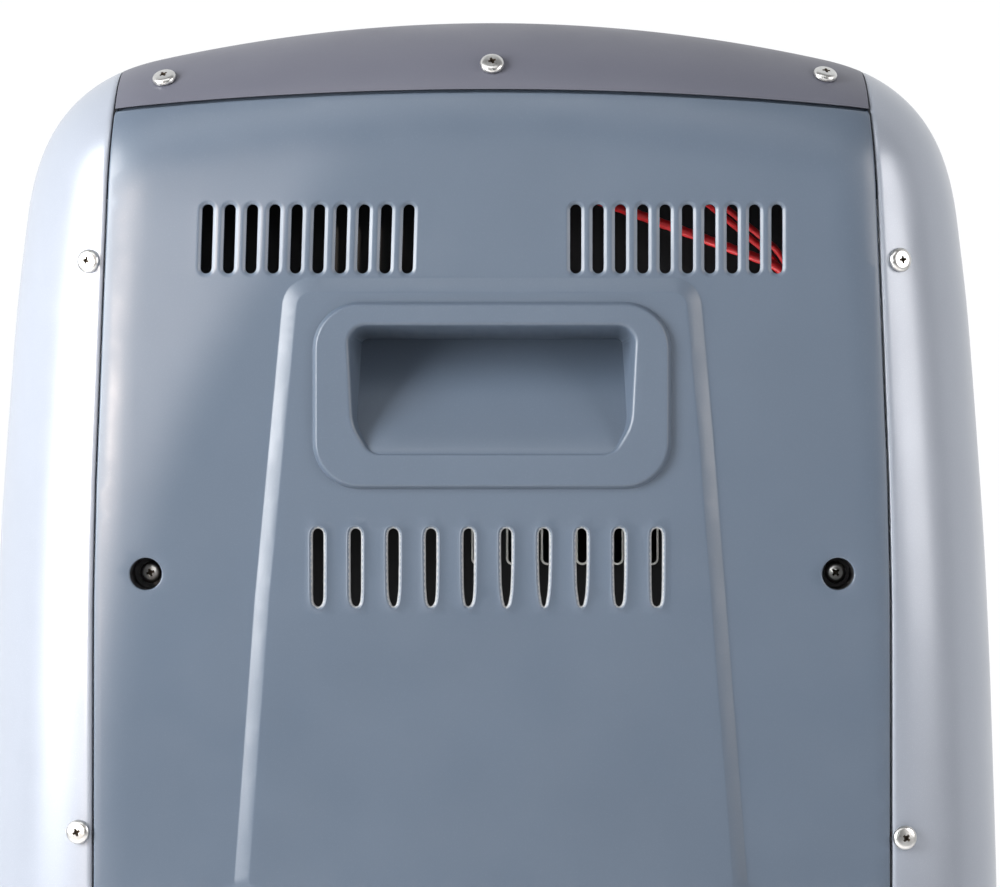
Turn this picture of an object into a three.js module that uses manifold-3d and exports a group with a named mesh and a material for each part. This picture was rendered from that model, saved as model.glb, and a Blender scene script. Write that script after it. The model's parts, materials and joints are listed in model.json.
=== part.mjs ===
// Portable oil-fired infrared heater: tower cabinet on four casters.
// Millimetres. +Z up, front at -Y, back at +Y, origin on the floor under the middle of the cabinet.
import * as THREE from 'three';
import { mergeVertices } from 'three/addons/utils/BufferGeometryUtils.js';
import Module from 'manifold-3d';

const wasm = await Module();
wasm.setup();

// ---------------------------------------------------------------- driving dimensions
const BODY_TOP = 1050;          // crown of the cap above the floor
const BODY_BOTTOM = 80;         // lower edge of the shell sheets
const HALF_DEPTH = 170;         // flat back skin and flat front skin
const EDGE_R = 62;              // rounding of every upright and top edge
const CORNER_P = 2.5;           // how square the shoulders are
const ARCH = 0.00072;           // crown of the cap, z = BODY_TOP - ARCH x^2
const SHEET = 3;                // moulded panel thickness
const GAP = 0.4;                // clearance between neighbouring panels
const HALF_WIDTH = [[70, 238], [300, 238], [500, 236.5], [656, 234], [752, 231], [808, 228.5],
  [864, 224.6], [919, 220.5], [948, 217], [977, 213.5], [1070, 213.5]];
const SEAM_X = [[60, 178.7], [785, 178.5], [840, 177.3], [865, 176.3], [919, 174.3],
  [972, 172.3], [1006, 170.6], [1075, 170.6]];
const CAP_SEAM_Z = 1013.5;      // cap seam height at the middle
const CAP_SEAM_FALL = 0.00027;  // and how it falls towards the shoulders
const PANEL_JOINT_Z = 655;      // joint between the two back panels

const VENT_X = [37.5, 47.5, 57.5, 67.5, 77.5, 87.5, 97.5, 107.5, 117.5, 127.5];
const VENT_Z = [930.8, 961.9];
const VENT_W = 5.1;
const ROW_X = [-73.6, -56.8, -40, -23.2, -6.4, 10.4, 27.2, 44, 60.8, 77.6];
const ROW_Z = [780.8, 817.2];
const ROW_W = 5.6;
const FIELD_RISE = 3;           // raised tapered field
const BEZEL_RISE = 3;           // bezel above the field
const POCKET_DEPTH = 40;        // grip pocket under its ceiling
const WELL_X = 154.8, WELL_Z = 796.5, WELL_D = 14.3, WELL_DEPTH = 20;

const BASE_W = 490, BASE_D = 352, BASE_Z = [66, 79.6];
const TANK = { hx: 185, hy: 122, z0: 84, z1: 294, wall: 3 };
const SHELF_Z = [318, 320];
const CASTER_X = 186, CASTER_Y = 126, WHEEL_R = 25, TRAIL = 14;
const AXIS_Y = -50, AXIS_Z = 400;  // burner axis
const RUN_Z = [522, 606, 690, 774, 858];
const RUN_X = 82;                 // straight length either side of the middle
const RISER_X = -122;
const TUBE_R = 25;

// ---------------------------------------------------------------- small helpers
const interp = (t, v) => {
  for (let i = 1; i < t.length; i++) {
    if (v <= t[i][0]) {
      const [a, p] = t[i - 1], [b, q] = t[i];
      return p + (q - p) * (v - a) / (b - a);
    }
  }
  return t[t.length - 1][1];
};
const halfWidth = (z) => interp(HALF_WIDTH, z);
const seamX = (z) => interp(SEAM_X, z);
const capSeam = (x) => CAP_SEAM_Z - CAP_SEAM_FALL * x * x;

function raw(verts, tris) {
  return new wasm.Manifold(new wasm.Mesh({
    numProp: 3, vertProperties: new Float32Array(verts), triVerts: new Uint32Array(tris),
  }));
}
function solid(geometry) {
  let g = geometry.clone();
  g.deleteAttribute('normal');
  g.deleteAttribute('uv');
  g = mergeVertices(g, 1e-4);
  return raw(g.attributes.position.array, g.index.array);
}
const move = (m, x, y, z) => m.translate([x, y, z]);
const box = (x0, x1, y0, y1, z0, z1) => {
  const g = new THREE.BoxGeometry(x1 - x0, y1 - y0, z1 - z0);
  g.translate((x0 + x1) / 2, (y0 + y1) / 2, (z0 + z1) / 2);
  return solid(g);
};
// cylinder or cone along an axis, from a to b along that axis
function rod(axis, r, a, b, cx, cy, cz, n = 20, r2 = r) {
  const g = new THREE.CylinderGeometry(r2, r, b - a, n);
  if (axis === 'x') g.rotateZ(-Math.PI / 2);
  if (axis === 'z') g.rotateX(Math.PI / 2);
  const m = (a + b) / 2;
  g.translate(axis === 'x' ? m : cx, axis === 'y' ? m : cy, axis === 'z' ? m : cz);
  return solid(g);
}
// prism of a polygon: plane 'xz' runs along y, 'xy' along z, 'yz' along x
function prism(points, a, b, plane = 'xz') {
  let p = points;
  if (THREE.ShapeUtils.area(p.map(([u, v]) => new THREE.Vector2(u, v))) < 0) p = [...p].reverse();
  const n = p.length, tri = THREE.ShapeUtils.triangulateShape(p.map(([u, v]) => new THREE.Vector2(u, v)), []);
  const verts = [], tris = [];
  const put = (u, v, w) => {
    if (plane === 'xz') verts.push(u, w, v);
    else if (plane === 'xy') verts.push(u, v, w);
    else verts.push(w, u, v);
  };
  for (const [u, v] of p) put(u, v, a);
  for (const [u, v] of p) put(u, v, b);
  const flip = plane === 'xz';
  const add = (i, j, k) => (flip ? tris.push(i, k, j) : tris.push(i, j, k));
  for (const [i, j, k] of tri) { add(i, k, j); add(n + i, n + j, n + k); }
  for (let i = 0; i < n; i++) { const j = (i + 1) % n; add(i, j, n + j); add(i, n + j, n + i); }
  return raw(verts, tris);
}
// loft between two polygons of the same count, both in the xz plane
function loftXZ(pa, ya, pb, yb) {
  if (THREE.ShapeUtils.area(pa.map(([u, v]) => new THREE.Vector2(u, v))) < 0) { pa = [...pa].reverse(); pb = [...pb].reverse(); }
  const n = pa.length, verts = [], tris = [];
  const tri = THREE.ShapeUtils.triangulateShape(pa.map(([u, v]) => new THREE.Vector2(u, v)), []);
  for (const [u, v] of pa) verts.push(u, ya, v);
  for (const [u, v] of pb) verts.push(u, yb, v);
  for (const [i, j, k] of tri) { tris.push(i, j, k, n + i, n + k, n + j); }
  for (let i = 0; i < n; i++) { const j = (i + 1) % n; tris.push(i, n + j, j, i, n + i, n + j); }
  return raw(verts, tris);
}
const stadium = (cx, z0, z1, w, n = 3) => {
  const r = w / 2, p = [];
  for (let i = 0; i <= n; i++) { const t = Math.PI * i / n; p.push([cx + r * Math.cos(t), z1 - r + r * Math.sin(t)]); }
  for (let i = 0; i <= n; i++) { const t = Math.PI + Math.PI * i / n; p.push([cx + r * Math.cos(t), z0 + r + r * Math.sin(t)]); }
  return p;
};
const roundRect = (x0, x1, z0, z1, r, n = 3) => {
  const p = [], c = [[x1 - r, z1 - r, 0], [x0 + r, z1 - r, 1], [x0 + r, z0 + r, 2], [x1 - r, z0 + r, 3]];
  for (const [cx, cz, q] of c) for (let i = 0; i <= n; i++) {
    const t = (q + i / n) * Math.PI / 2;
    p.push([cx + r * Math.cos(t), cz + r * Math.sin(t)]);
  }
  return p;
};
// pipe through explicit centre points; r1 > 0 leaves it bored through
function pipe(points, r0, r1 = 0, sides = 8) {
  const P = points.map((p) => new THREE.Vector3(...p)), N = P.length;
  const T = P.map((p, i) => new THREE.Vector3().subVectors(P[Math.min(N - 1, i + 1)], P[Math.max(0, i - 1)]).normalize());
  let u = Math.abs(T[0].y) < 0.9 ? new THREE.Vector3(0, 1, 0) : new THREE.Vector3(1, 0, 0);
  const verts = [], tris = [];
  const ring = [];
  for (let i = 0; i < N; i++) {
    u.addScaledVector(T[i], -u.dot(T[i])).normalize();
    const v = new THREE.Vector3().crossVectors(T[i], u);
    let k = 1;
    if (i > 0 && i < N - 1) {
      const c = new THREE.Vector3().subVectors(P[i + 1], P[i]).normalize().dot(T[i]);
      k = 1 / Math.max(0.5, c);
    }
    ring.push([P[i].clone(), u.clone(), v, Math.min(k, 1.2)]);
  }
  const layer = (r) => {
    const start = verts.length / 3;
    for (const [p, a, b] of ring) for (let j = 0; j < sides; j++) {
      const t = 2 * Math.PI * j / sides;
      verts.push(p.x + r * (a.x * Math.cos(t) + b.x * Math.sin(t)), p.y + r * (a.y * Math.cos(t) + b.y * Math.sin(t)),
        p.z + r * (a.z * Math.cos(t) + b.z * Math.sin(t)));
    }
    return start;
  };
  const quad = (a, b, c, d, f) => (f ? tris.push(a, c, b, a, d, c) : tris.push(a, b, c, a, c, d));
  const s0 = layer(r0);
  const skin = (s, f) => {
    for (let i = 0; i < N - 1; i++) for (let j = 0; j < sides; j++) {
      const k = (j + 1) % sides;
      quad(s + i * sides + j, s + i * sides + k, s + (i + 1) * sides + k, s + (i + 1) * sides + j, f);
    }
  };
  skin(s0, false);
  if (r1 > 0) {
    const s1 = layer(r1);
    skin(s1, true);
    for (let j = 0; j < sides; j++) {
      const k = (j + 1) % sides, e = (N - 1) * sides;
      quad(s0 + k, s0 + j, s1 + j, s1 + k, false);
      quad(s0 + e + j, s0 + e + k, s1 + e + k, s1 + e + j, false);
    }
  } else {
    for (const [i, f] of [[0, true], [N - 1, false]]) {
      const c = verts.length / 3;
      verts.push(P[i].x, P[i].y, P[i].z);
      for (let j = 0; j < sides; j++) {
        const a = s0 + i * sides + j, b = s0 + i * sides + (j + 1) % sides;
        f ? tris.push(c, b, a) : tris.push(c, a, b);
      }
    }
  }
  return raw(verts, tris);
}
// round a polyline's corners into short arcs
function soften(points, r, n = 4) {
  const out = [points[0]];
  for (let i = 1; i < points.length - 1; i++) {
    const a = new THREE.Vector3(...points[i - 1]), b = new THREE.Vector3(...points[i]), c = new THREE.Vector3(...points[i + 1]);
    const l = Math.min(r, a.distanceTo(b) * 0.48, c.distanceTo(b) * 0.48);
    const p = b.clone().add(a.sub(b).normalize().multiplyScalar(l)), q = b.clone().add(c.sub(b).normalize().multiplyScalar(l));
    for (let k = 0; k <= n; k++) {
      const t = k / n;
      const m = p.clone().multiplyScalar((1 - t) ** 2).addScaledVector(b, 2 * t * (1 - t)).addScaledVector(q, t * t);
      out.push([m.x, m.y, m.z]);
    }
  }
  out.push(points[points.length - 1]);
  return out;
}

// ---------------------------------------------------------------- cabinet skin
function outside(x, y, z, t) {
  const R = EDGE_R - t;
  const a = Math.max(0, R - (halfWidth(z) - t - Math.abs(x)));
  const b = Math.max(0, R - (BODY_TOP - t - ARCH * x * x - z));
  const c = Math.max(0, R - (HALF_DEPTH - t - Math.abs(y)));
  return Math.hypot((a ** CORNER_P + b ** CORNER_P) ** (1 / CORNER_P), c) - R;
}
function hull(t, bottom) {
  const quarter = [[0, 1]];
  const W = 222, D = HALF_DEPTH, R = EDGE_R;
  for (const x of [70, 120, 158]) quarter.push([x, D]);
  for (const a of [24, 48, 70]) quarter.push([W - R + R * Math.sin(a * Math.PI / 180), D - R + R * Math.cos(a * Math.PI / 180)]);
  quarter.push([W, D - R], [W, 0]);
  quarter[0] = [0, D];
  const m = quarter.length, ringPts = [];
  for (let i = m - 1; i > 0; i--) ringPts.push([quarter[i][0], -quarter[i][1]]);
  ringPts.shift();
  const right = [...quarter].reverse().slice(0, -1);              // (W,0) .. near (0,D)
  const loop = [];
  for (const [x, y] of right) loop.push([x, y]);
  loop.push([0, D]);
  for (const [x, y] of [...right].reverse()) loop.push([-x, y]);
  for (const [x, y] of right.slice(1)) loop.push([-x, -y]);
  loop.push([0, -D]);
  for (const [x, y] of [...right].slice(1).reverse()) loop.push([x, -y]);
  const n = loop.length, verts = [], tris = [];
  const cast = (dx, dy, dz, oz) => {
    let lo = 0, hi = 1.6;
    for (let k = 0; k < 50; k++) {
      const s = (lo + hi) / 2;
      if (outside(dx * s, dy * s, oz + dz * s, t) > 0) hi = s; else lo = s;
    }
    verts.push(dx * lo, dy * lo, oz + dz * lo);
  };
  const zs = [bottom, 500, 656, 752, 864, 919, 948, 977, 990];
  for (const z of zs) for (const [x, y] of loop) cast(x * 1.1, y * 1.1, 0, z);
  const dome = [[1, 17], [1, 34], [0.95, 50], [0.82, 59], [0.42, 62]];
  for (const [s, h] of dome) for (const [x, y] of loop) cast(x * s, y * s, h, 990);
  const rows = zs.length + dome.length;
  for (let i = 0; i < rows - 1; i++) for (let j = 0; j < n; j++) {
    const k = (j + 1) % n, a = i * n + j, b = i * n + k, c = a + n, d = b + n;
    tris.push(a, b, d, a, d, c);
  }
  const cb = verts.length / 3; verts.push(0, 0, bottom);
  const ct = verts.length / 3; verts.push(0, 0, BODY_TOP - t);
  for (let j = 0; j < n; j++) {
    const k = (j + 1) % n;
    tris.push(cb, k, j, ct, (rows - 1) * n + j, (rows - 1) * n + k);
  }
  return raw(verts, tris);
}
const shell = hull(0, BODY_BOTTOM).subtract(hull(SHEET, BODY_BOTTOM - 8));

const seamPoly = (side, d, z0, z1) => {            // region outside (d>0) or inside (d<0) the seam, one side
  const zs = [z0, ...SEAM_X.map((s) => s[0]).filter((z) => z > z0 && z < z1), z1];
  return zs.map((z) => [side * (seamX(z) + d), z]);
};
const middle = (d, z0, z1, y0, y1) => prism([...seamPoly(1, -d, z0, z1), ...seamPoly(-1, -d, z0, z1).reverse()], y0, y1);
const capLine = (d) => { const p = []; for (let i = -8; i <= 8; i++) { const x = i * 22.5; p.push([x, capSeam(x) + d]); } return p; };

// ---------------------------------------------------------------- assembly list
const root = new THREE.Group();
root.name = 'outdoor_heater';
const COLOURS = {
  panel: [0x5c6674, 0.55, 0.1], cap: [0x4c4b52, 0.55, 0.1], pearl: [0xc9ced8, 0.4, 0.2], black: [0x18181a, 0.6, 0.3],
  steel: [0xb8b8b4, 0.35, 0.9], bright: [0xd6d8da, 0.2, 1], dark: [0x2b2b2d, 0.6, 0.2], ceramic: [0x3a3735, 0.8, 0.1],
  red: [0x9c1418, 0.5, 0], rubber: [0x202022, 0.9, 0], tank: [0x33373d, 0.5, 0.2], glass: [0x101418, 0.1, 0],
  zinc: [0xa8abac, 0.4, 0.8], board: [0x1d4a30, 0.6, 0], brass: [0xb08d4a, 0.35, 0.9],
};
function put(name, manifold, look) {
  const mesh = manifold.getMesh();
  const g = new THREE.BufferGeometry();
  g.setAttribute('position', new THREE.BufferAttribute(new Float32Array(mesh.vertProperties), 3));
  g.setIndex(new THREE.BufferAttribute(new Uint32Array(mesh.triVerts), 1));
  g.computeVertexNormals();
  const [color, roughness, metalness] = COLOURS[look];
  const m = new THREE.Mesh(g, new THREE.MeshStandardMaterial({ color, roughness, metalness }));
  m.name = name;
  root.add(m);
  return m;
}
const union = (...list) => list.reduce((a, b) => a.add(b));

// ---------------------------------------------------------------- back panel
{
  let p = shell.intersect(middle(GAP, PANEL_JOINT_Z, 1030, 20, 200));
  p = p.subtract(prism([...capLine(-1.4), [180, 1060], [-180, 1060]], 0, 220));
  // raised tapered field
  const outer = [[-114.4, PANEL_JOINT_Z], [-98.8, 861], [-94, 905], [-91, 918], [-86, 925], [-78, 928.8],
    [78, 928.8], [86, 925], [91, 918], [94, 905], [98.8, 861], [114.4, PANEL_JOINT_Z]];
  const inner = [[-107.6, PANEL_JOINT_Z], [-92.2, 861], [-87.6, 904], [-85.2, 914], [-81.5, 919.6], [-76, 922.2],
    [76, 922.2], [81.5, 919.6], [85.2, 914], [87.6, 904], [92.2, 861], [107.6, PANEL_JOINT_Z]];
  p = p.add(loftXZ(outer, HALF_DEPTH - 0.6, inner, HALF_DEPTH + FIELD_RISE).intersect(box(-130, 130, 160, 190, PANEL_JOINT_Z, 940)));
  // bezel
  const b0 = roundRect(-80, 80, 834.5, 918, 21, 3), b1 = roundRect(-77.6, 77.6, 836.9, 915.6, 19, 3);
  p = p.add(loftXZ(b0, HALF_DEPTH + 0.5, b1, HALF_DEPTH + FIELD_RISE + BEZEL_RISE));
  // grip pocket: upright walls, floor running out towards the bottom
  const yT = HALF_DEPTH + FIELD_RISE + BEZEL_RISE;
  const mouth = (d) => [[-56 - d, 848.6 - d], [56 + d, 848.6 - d], [61.5 + d, 855 - d * 0.6], [63.2 + d, 866], [65 + d, 901],
    [62.5 + d, 906.6 + d * 0.6], [58 + d * 0.6, 908.4 + d], [-58 - d * 0.6, 908.4 + d], [-62.5 - d, 906.6 + d * 0.6], [-65 - d, 901],
    [-63.2 - d, 866], [-61.5 - d, 855 - d * 0.6]];
  const wedge = (d) => prism([[yT + 6, 840 - d], [yT - 3 - d, 846 - d], [yT - POCKET_DEPTH - d, 902 + d], [yT - POCKET_DEPTH - d, 915 + d], [yT + 6, 915 + d]],
    -90, 90, 'yz');
  const skinCut = box(-90, 90, HALF_DEPTH - SHEET - 60, yT - 0.2, 835, 917);
  const pocketBody = prism(mouth(2.6), yT - POCKET_DEPTH - 4, yT - 0.3).intersect(wedge(2.6)).intersect(skinCut);
  const pocketVoid = prism(mouth(0), yT - POCKET_DEPTH - 2, yT + 8).intersect(wedge(0));
  p = p.add(pocketBody).subtract(pocketVoid);
  // screw wells
  for (const s of [1, -1]) {
    p = p.add(rod('y', WELL_D / 2 + 2, HALF_DEPTH - WELL_DEPTH - 2, HALF_DEPTH - 1.2, s * WELL_X, 0, WELL_Z, 16));
    p = p.subtract(rod('y', WELL_D / 2, HALF_DEPTH - WELL_DEPTH, HALF_DEPTH + 5, s * WELL_X, 0, WELL_Z, 16));
    p = p.subtract(rod('y', 2.7, 120, 160, s * WELL_X, 0, WELL_Z, 10));
  }
  // vent slots
  const cuts = [];
  for (const x of VENT_X) for (const s of [1, -1]) cuts.push(prism(stadium(s * x, VENT_Z[0], VENT_Z[1], VENT_W), 120, 190));
  for (const x of ROW_X) cuts.push(prism(stadium(x, ROW_Z[0], ROW_Z[1], ROW_W), 120, 190));
  for (const c of cuts) p = p.subtract(c);
  put('back_panel', p, 'panel');
}

// ---------------------------------------------------------------- top cap
const GRILLE_R = 62, GRILLE_N = 24;
const CAP_SCREWS = [[148.5, 1019.9], [0, 1025.3], [-151.3, 1021.8]];   // x, z on the rear skin
{
  let p = shell.intersect(prism([...capLine(0.3), [180, 1065], [-180, 1065]], -200, 200));
  p = p.intersect(box(-170.6 + GAP, 170.6 - GAP, -200, 200, 990, 1070));
  p = p.add(rod('z', GRILLE_R + 4, 1041, 1046.4, 0, 0, 0, GRILLE_N));
  p = p.subtract(rod('z', GRILLE_R, 1046.4, 1070, 0, 0, 0, GRILLE_N));
  p = p.subtract(rod('z', 52, 1030, 1070, 0, 0, 0, GRILLE_N));
  for (const [x, z] of CAP_SCREWS) p = p.subtract(alongNormal(x, z, 2.5, -20, 8, 10));
  put('top_cap', p, 'cap');
}
function skinPoint(x, z) {                          // a point on the back skin and its outward normal
  let lo = 60, hi = 190;
  for (let i = 0; i < 50; i++) { const y = (lo + hi) / 2; if (outside(x, y, z, 0) > 0) hi = y; else lo = y; }
  const e = 0.5, f = (a, b, c) => outside(a, b, c, 0);
  const n = new THREE.Vector3(f(x + e, lo, z) - f(x - e, lo, z), f(x, lo + e, z) - f(x, lo - e, z), f(x, lo, z + e) - f(x, lo, z - e)).normalize();
  return [new THREE.Vector3(x, lo, z), n];
}
function alongNormal(x, z, r, a, b, n = 12, r2 = r) {
  const [p, d] = skinPoint(x, z);
  const g = new THREE.CylinderGeometry(r2, r, b - a, n);
  g.translate(0, (a + b) / 2, 0);
  g.applyQuaternion(new THREE.Quaternion().setFromUnitVectors(new THREE.Vector3(0, 1, 0), d));
  g.translate(p.x, p.y, p.z);
  return solid(g);
}
function panScrew(x, z, lift = 0.35, depth = 12) {
  // pan head, cross recess, threaded shank
  let s = union(alongNormal(x, z, 5.45, lift, lift + 3.1, 12, 3.8),
    alongNormal(x, z, 2.05, -depth, lift + 0.5, 6));
  const [p, d] = skinPoint(x, z);
  for (const k of [0, 1]) {
    const g = new THREE.BoxGeometry(k ? 0.9 : 4.2, 3, k ? 4.2 : 0.9);
    g.translate(0, lift + 3.1, 0);
    g.applyQuaternion(new THREE.Quaternion().setFromUnitVectors(new THREE.Vector3(0, 1, 0), d));
    g.translate(p.x, p.y, p.z);
    s = s.subtract(solid(g));
  }
  return s;
}
put('cap_screw_left', panScrew(...CAP_SCREWS[0]), 'bright');
put('cap_screw_centre', panScrew(...CAP_SCREWS[1]), 'bright');
put('cap_screw_right', panScrew(...CAP_SCREWS[2]), 'bright');

// ---------------------------------------------------------------- side panels
const RAIL_SCREWS = { 1: [[180.6, 936.5], [185, 681.1]], [-1]: [[182.8, 937.1], [184.5, 678.5]] };
for (const [name, s] of [['left_side_panel', 1], ['right_side_panel', -1]]) {
  let p = shell.intersect(prism([...seamPoly(s, GAP, 60, 1075), [s * 300, 1075], [s * 300, 60]], -200, 200));
  for (const [x, z] of RAIL_SCREWS[s]) p = p.subtract(alongNormal(s * x, z, 2.5, -12, 6, 10));
  put(name, p, 'pearl');
}
put('rail_screw_upper_left', panScrew(180.6, 936.5), 'bright');
put('rail_screw_upper_right', panScrew(-182.8, 937.1), 'bright');
put('rail_screw_lower_left', panScrew(185, 681.1), 'bright');
put('rail_screw_lower_right', panScrew(-184.5, 678.5), 'bright');
for (const [name, s] of [['well_screw_left', 1], ['well_screw_right', -1]]) {
  const y0 = HALF_DEPTH - WELL_DEPTH + 0.35;
  let w = union(rod('y', 4.7, y0, y0 + 2.6, s * WELL_X, 0, WELL_Z, 12, 3.4),
    rod('y', 2.0, y0 - 13, y0 + 0.5, s * WELL_X, 0, WELL_Z, 6));
  w = w.subtract(box(s * WELL_X - 2, s * WELL_X + 2, y0 + 1.6, y0 + 6, WELL_Z - 0.45, WELL_Z + 0.45));
  w = w.subtract(box(s * WELL_X - 0.45, s * WELL_X + 0.45, y0 + 1.6, y0 + 6, WELL_Z - 2, WELL_Z + 2));
  put(name, w, 'bright');
}

// ---------------------------------------------------------------- lower back panel
const NECK = { x: -120, y: 66, z: 284, l: 100, tilt: 60 * Math.PI / 180 };
const neckDir = new THREE.Vector3(0, Math.sin(NECK.tilt), Math.cos(NECK.tilt));
function neckRod(r, a, b, n = 24) {
  const h = new THREE.CylinderGeometry(r, r, b - a, n);
  h.translate(0, (a + b) / 2, 0);
  h.applyQuaternion(new THREE.Quaternion().setFromUnitVectors(new THREE.Vector3(0, 1, 0), neckDir));
  h.translate(NECK.x, NECK.y, NECK.z);
  return solid(h);
}
{
  let p = shell.intersect(middle(GAP, BODY_BOTTOM - 5, PANEL_JOINT_Z - 0.8, 20, 200));
  p = p.subtract(neckRod(37, 20, 160));
  p = p.subtract(prism(roundRect(-66, -14, 312, 334, 6, 2), 100, 200));
  p = p.subtract(rod('y', 10.6, 100, 200, 130, 0, 150, 16));
  for (let i = 0; i < 10; i++) p = p.subtract(prism(stadium(ROW_X[i], 400, 436, ROW_W, 2), 120, 190));
  put('lower_back_panel', p, 'panel');
}
// cable gland: nut inside, body and dome outside, open bore
{
  let g = union(rod('y', 10, 156, 174, 130, 0, 150, 16), rod('y', 14, HALF_DEPTH + 0.4, 173, 130, 0, 150, 6),
    rod('y', 14, 160, HALF_DEPTH - SHEET - 0.4, 130, 0, 150, 6), rod('y', 11, 172, 175.8, 130, 0, 150, 16, 9));
  g = g.subtract(rod('y', 4.4, 150, 200, 130, 0, 150, 12));
  put('mains_cable_gland', g, 'dark');
}

// ---------------------------------------------------------------- base, tank
{
  let b = prism(roundRect(-BASE_W / 2, BASE_W / 2, -BASE_D / 2, BASE_D / 2, 66, 4), BASE_Z[0], BASE_Z[1], 'xy');
  b = b.subtract(prism(roundRect(-BASE_W / 2 + 5, BASE_W / 2 - 5, -BASE_D / 2 + 5, BASE_D / 2 - 5, 61, 4), BASE_Z[0] - 5, BASE_Z[1] - 3, 'xy')
    .subtract(union(...[[1, 1], [1, -1], [-1, 1], [-1, -1]].map(([i, j]) => rod('z', 22, 50, 90, i * CASTER_X, j * CASTER_Y, 0, 20)))));
  for (const [i, j] of [[1, 1], [1, -1], [-1, 1], [-1, -1]]) b = b.subtract(rod('z', 6.5, 50, 76, i * CASTER_X, j * CASTER_Y, 0, 16));
  put('base_plate', b, 'black');
}
const GAUGE = { x: -40, y: 106 };
{
  const o = prism(roundRect(-TANK.hx, TANK.hx, -TANK.hy, TANK.hy, 30, 3), TANK.z0, TANK.z1, 'xy');
  const i = prism(roundRect(-TANK.hx + 3, TANK.hx - 3, -TANK.hy + 3, TANK.hy - 3, 27, 3), TANK.z0 + 3, TANK.z1 - 3, 'xy');
  let t = o.add(neckRod(22, -2, NECK.l)).subtract(i);
  t = t.subtract(neckRod(19, -12, NECK.l + 10));
  t = t.subtract(rod('z', 9, 280, 300, GAUGE.x, GAUGE.y, 0, 16));
  t = t.subtract(rod('z', 5, 280, 300, 60, 60, 0, 12));
  put('fuel_tank', t, 'tank');
}
{
  let c = neckRod(31, NECK.l - 12, NECK.l + 9, 24).subtract(neckRod(22.5, NECK.l - 20, NECK.l + 3, 24));
  // two grip lugs across the top
  const bar = new THREE.BoxGeometry(46, 9, 9);
  bar.translate(0, NECK.l + 12, 0);
  bar.applyQuaternion(new THREE.Quaternion().setFromUnitVectors(new THREE.Vector3(0, 1, 0), neckDir));
  bar.translate(NECK.x, NECK.y, NECK.z);
  c = c.add(solid(bar));
  put('fuel_cap', c, 'dark');
}
{
  let g = union(box(GAUGE.x - 20, GAUGE.x + 20, GAUGE.y + 6, GAUGE.y + 24, TANK.z1 + 0.4, 344),
    box(GAUGE.x - 11, GAUGE.x + 11, GAUGE.y - 11, GAUGE.y + 10, TANK.z1 + 0.4, TANK.z1 + 5),
    rod('z', 7, 184, TANK.z1 + 3, GAUGE.x, GAUGE.y, 0, 12));
  g = g.subtract(box(GAUGE.x - 17, GAUGE.x + 17, GAUGE.y + 20, GAUGE.y + 30, 304, 341));
  g = g.subtract(rod('y', 1.7, 80, GAUGE.y + 21, GAUGE.x, 0, 313, 8)).subtract(rod('y', 2.2, 80, 130, GAUGE.x, 0, 190, 8));
  put('fuel_gauge_body', g, 'dark');
}
// float arm: pin through the stem, arm and hollow-looking float
put('fuel_float_arm', union(rod('y', 1.8, GAUGE.y - 12, GAUGE.y + 9, GAUGE.x, 0, 190, 8),
  box(GAUGE.x - 88, GAUGE.x + 3, GAUGE.y - 12, GAUGE.y - 8.5, 187, 193),
  rod('x', 15, GAUGE.x - 128, GAUGE.x - 86, 0, GAUGE.y - 24, 190, 14),
  box(GAUGE.x - 96, GAUGE.x - 84, GAUGE.y - 20, GAUGE.y - 8.5, 187, 193)), 'brass');
put('fuel_gauge_pointer', union(rod('y', 1.3, GAUGE.y + 12, GAUGE.y + 22.5, GAUGE.x, 0, 313, 8),
  rod('y', 3.2, GAUGE.y + 20.6, GAUGE.y + 22.6, GAUGE.x, 0, 313, 10),
  prism([[GAUGE.x - 1.6, 312], [GAUGE.x + 1.6, 312], [GAUGE.x + 0.4, 337], [GAUGE.x - 0.4, 337]], GAUGE.y + 20.8, GAUGE.y + 22.2)), 'red');

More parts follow.
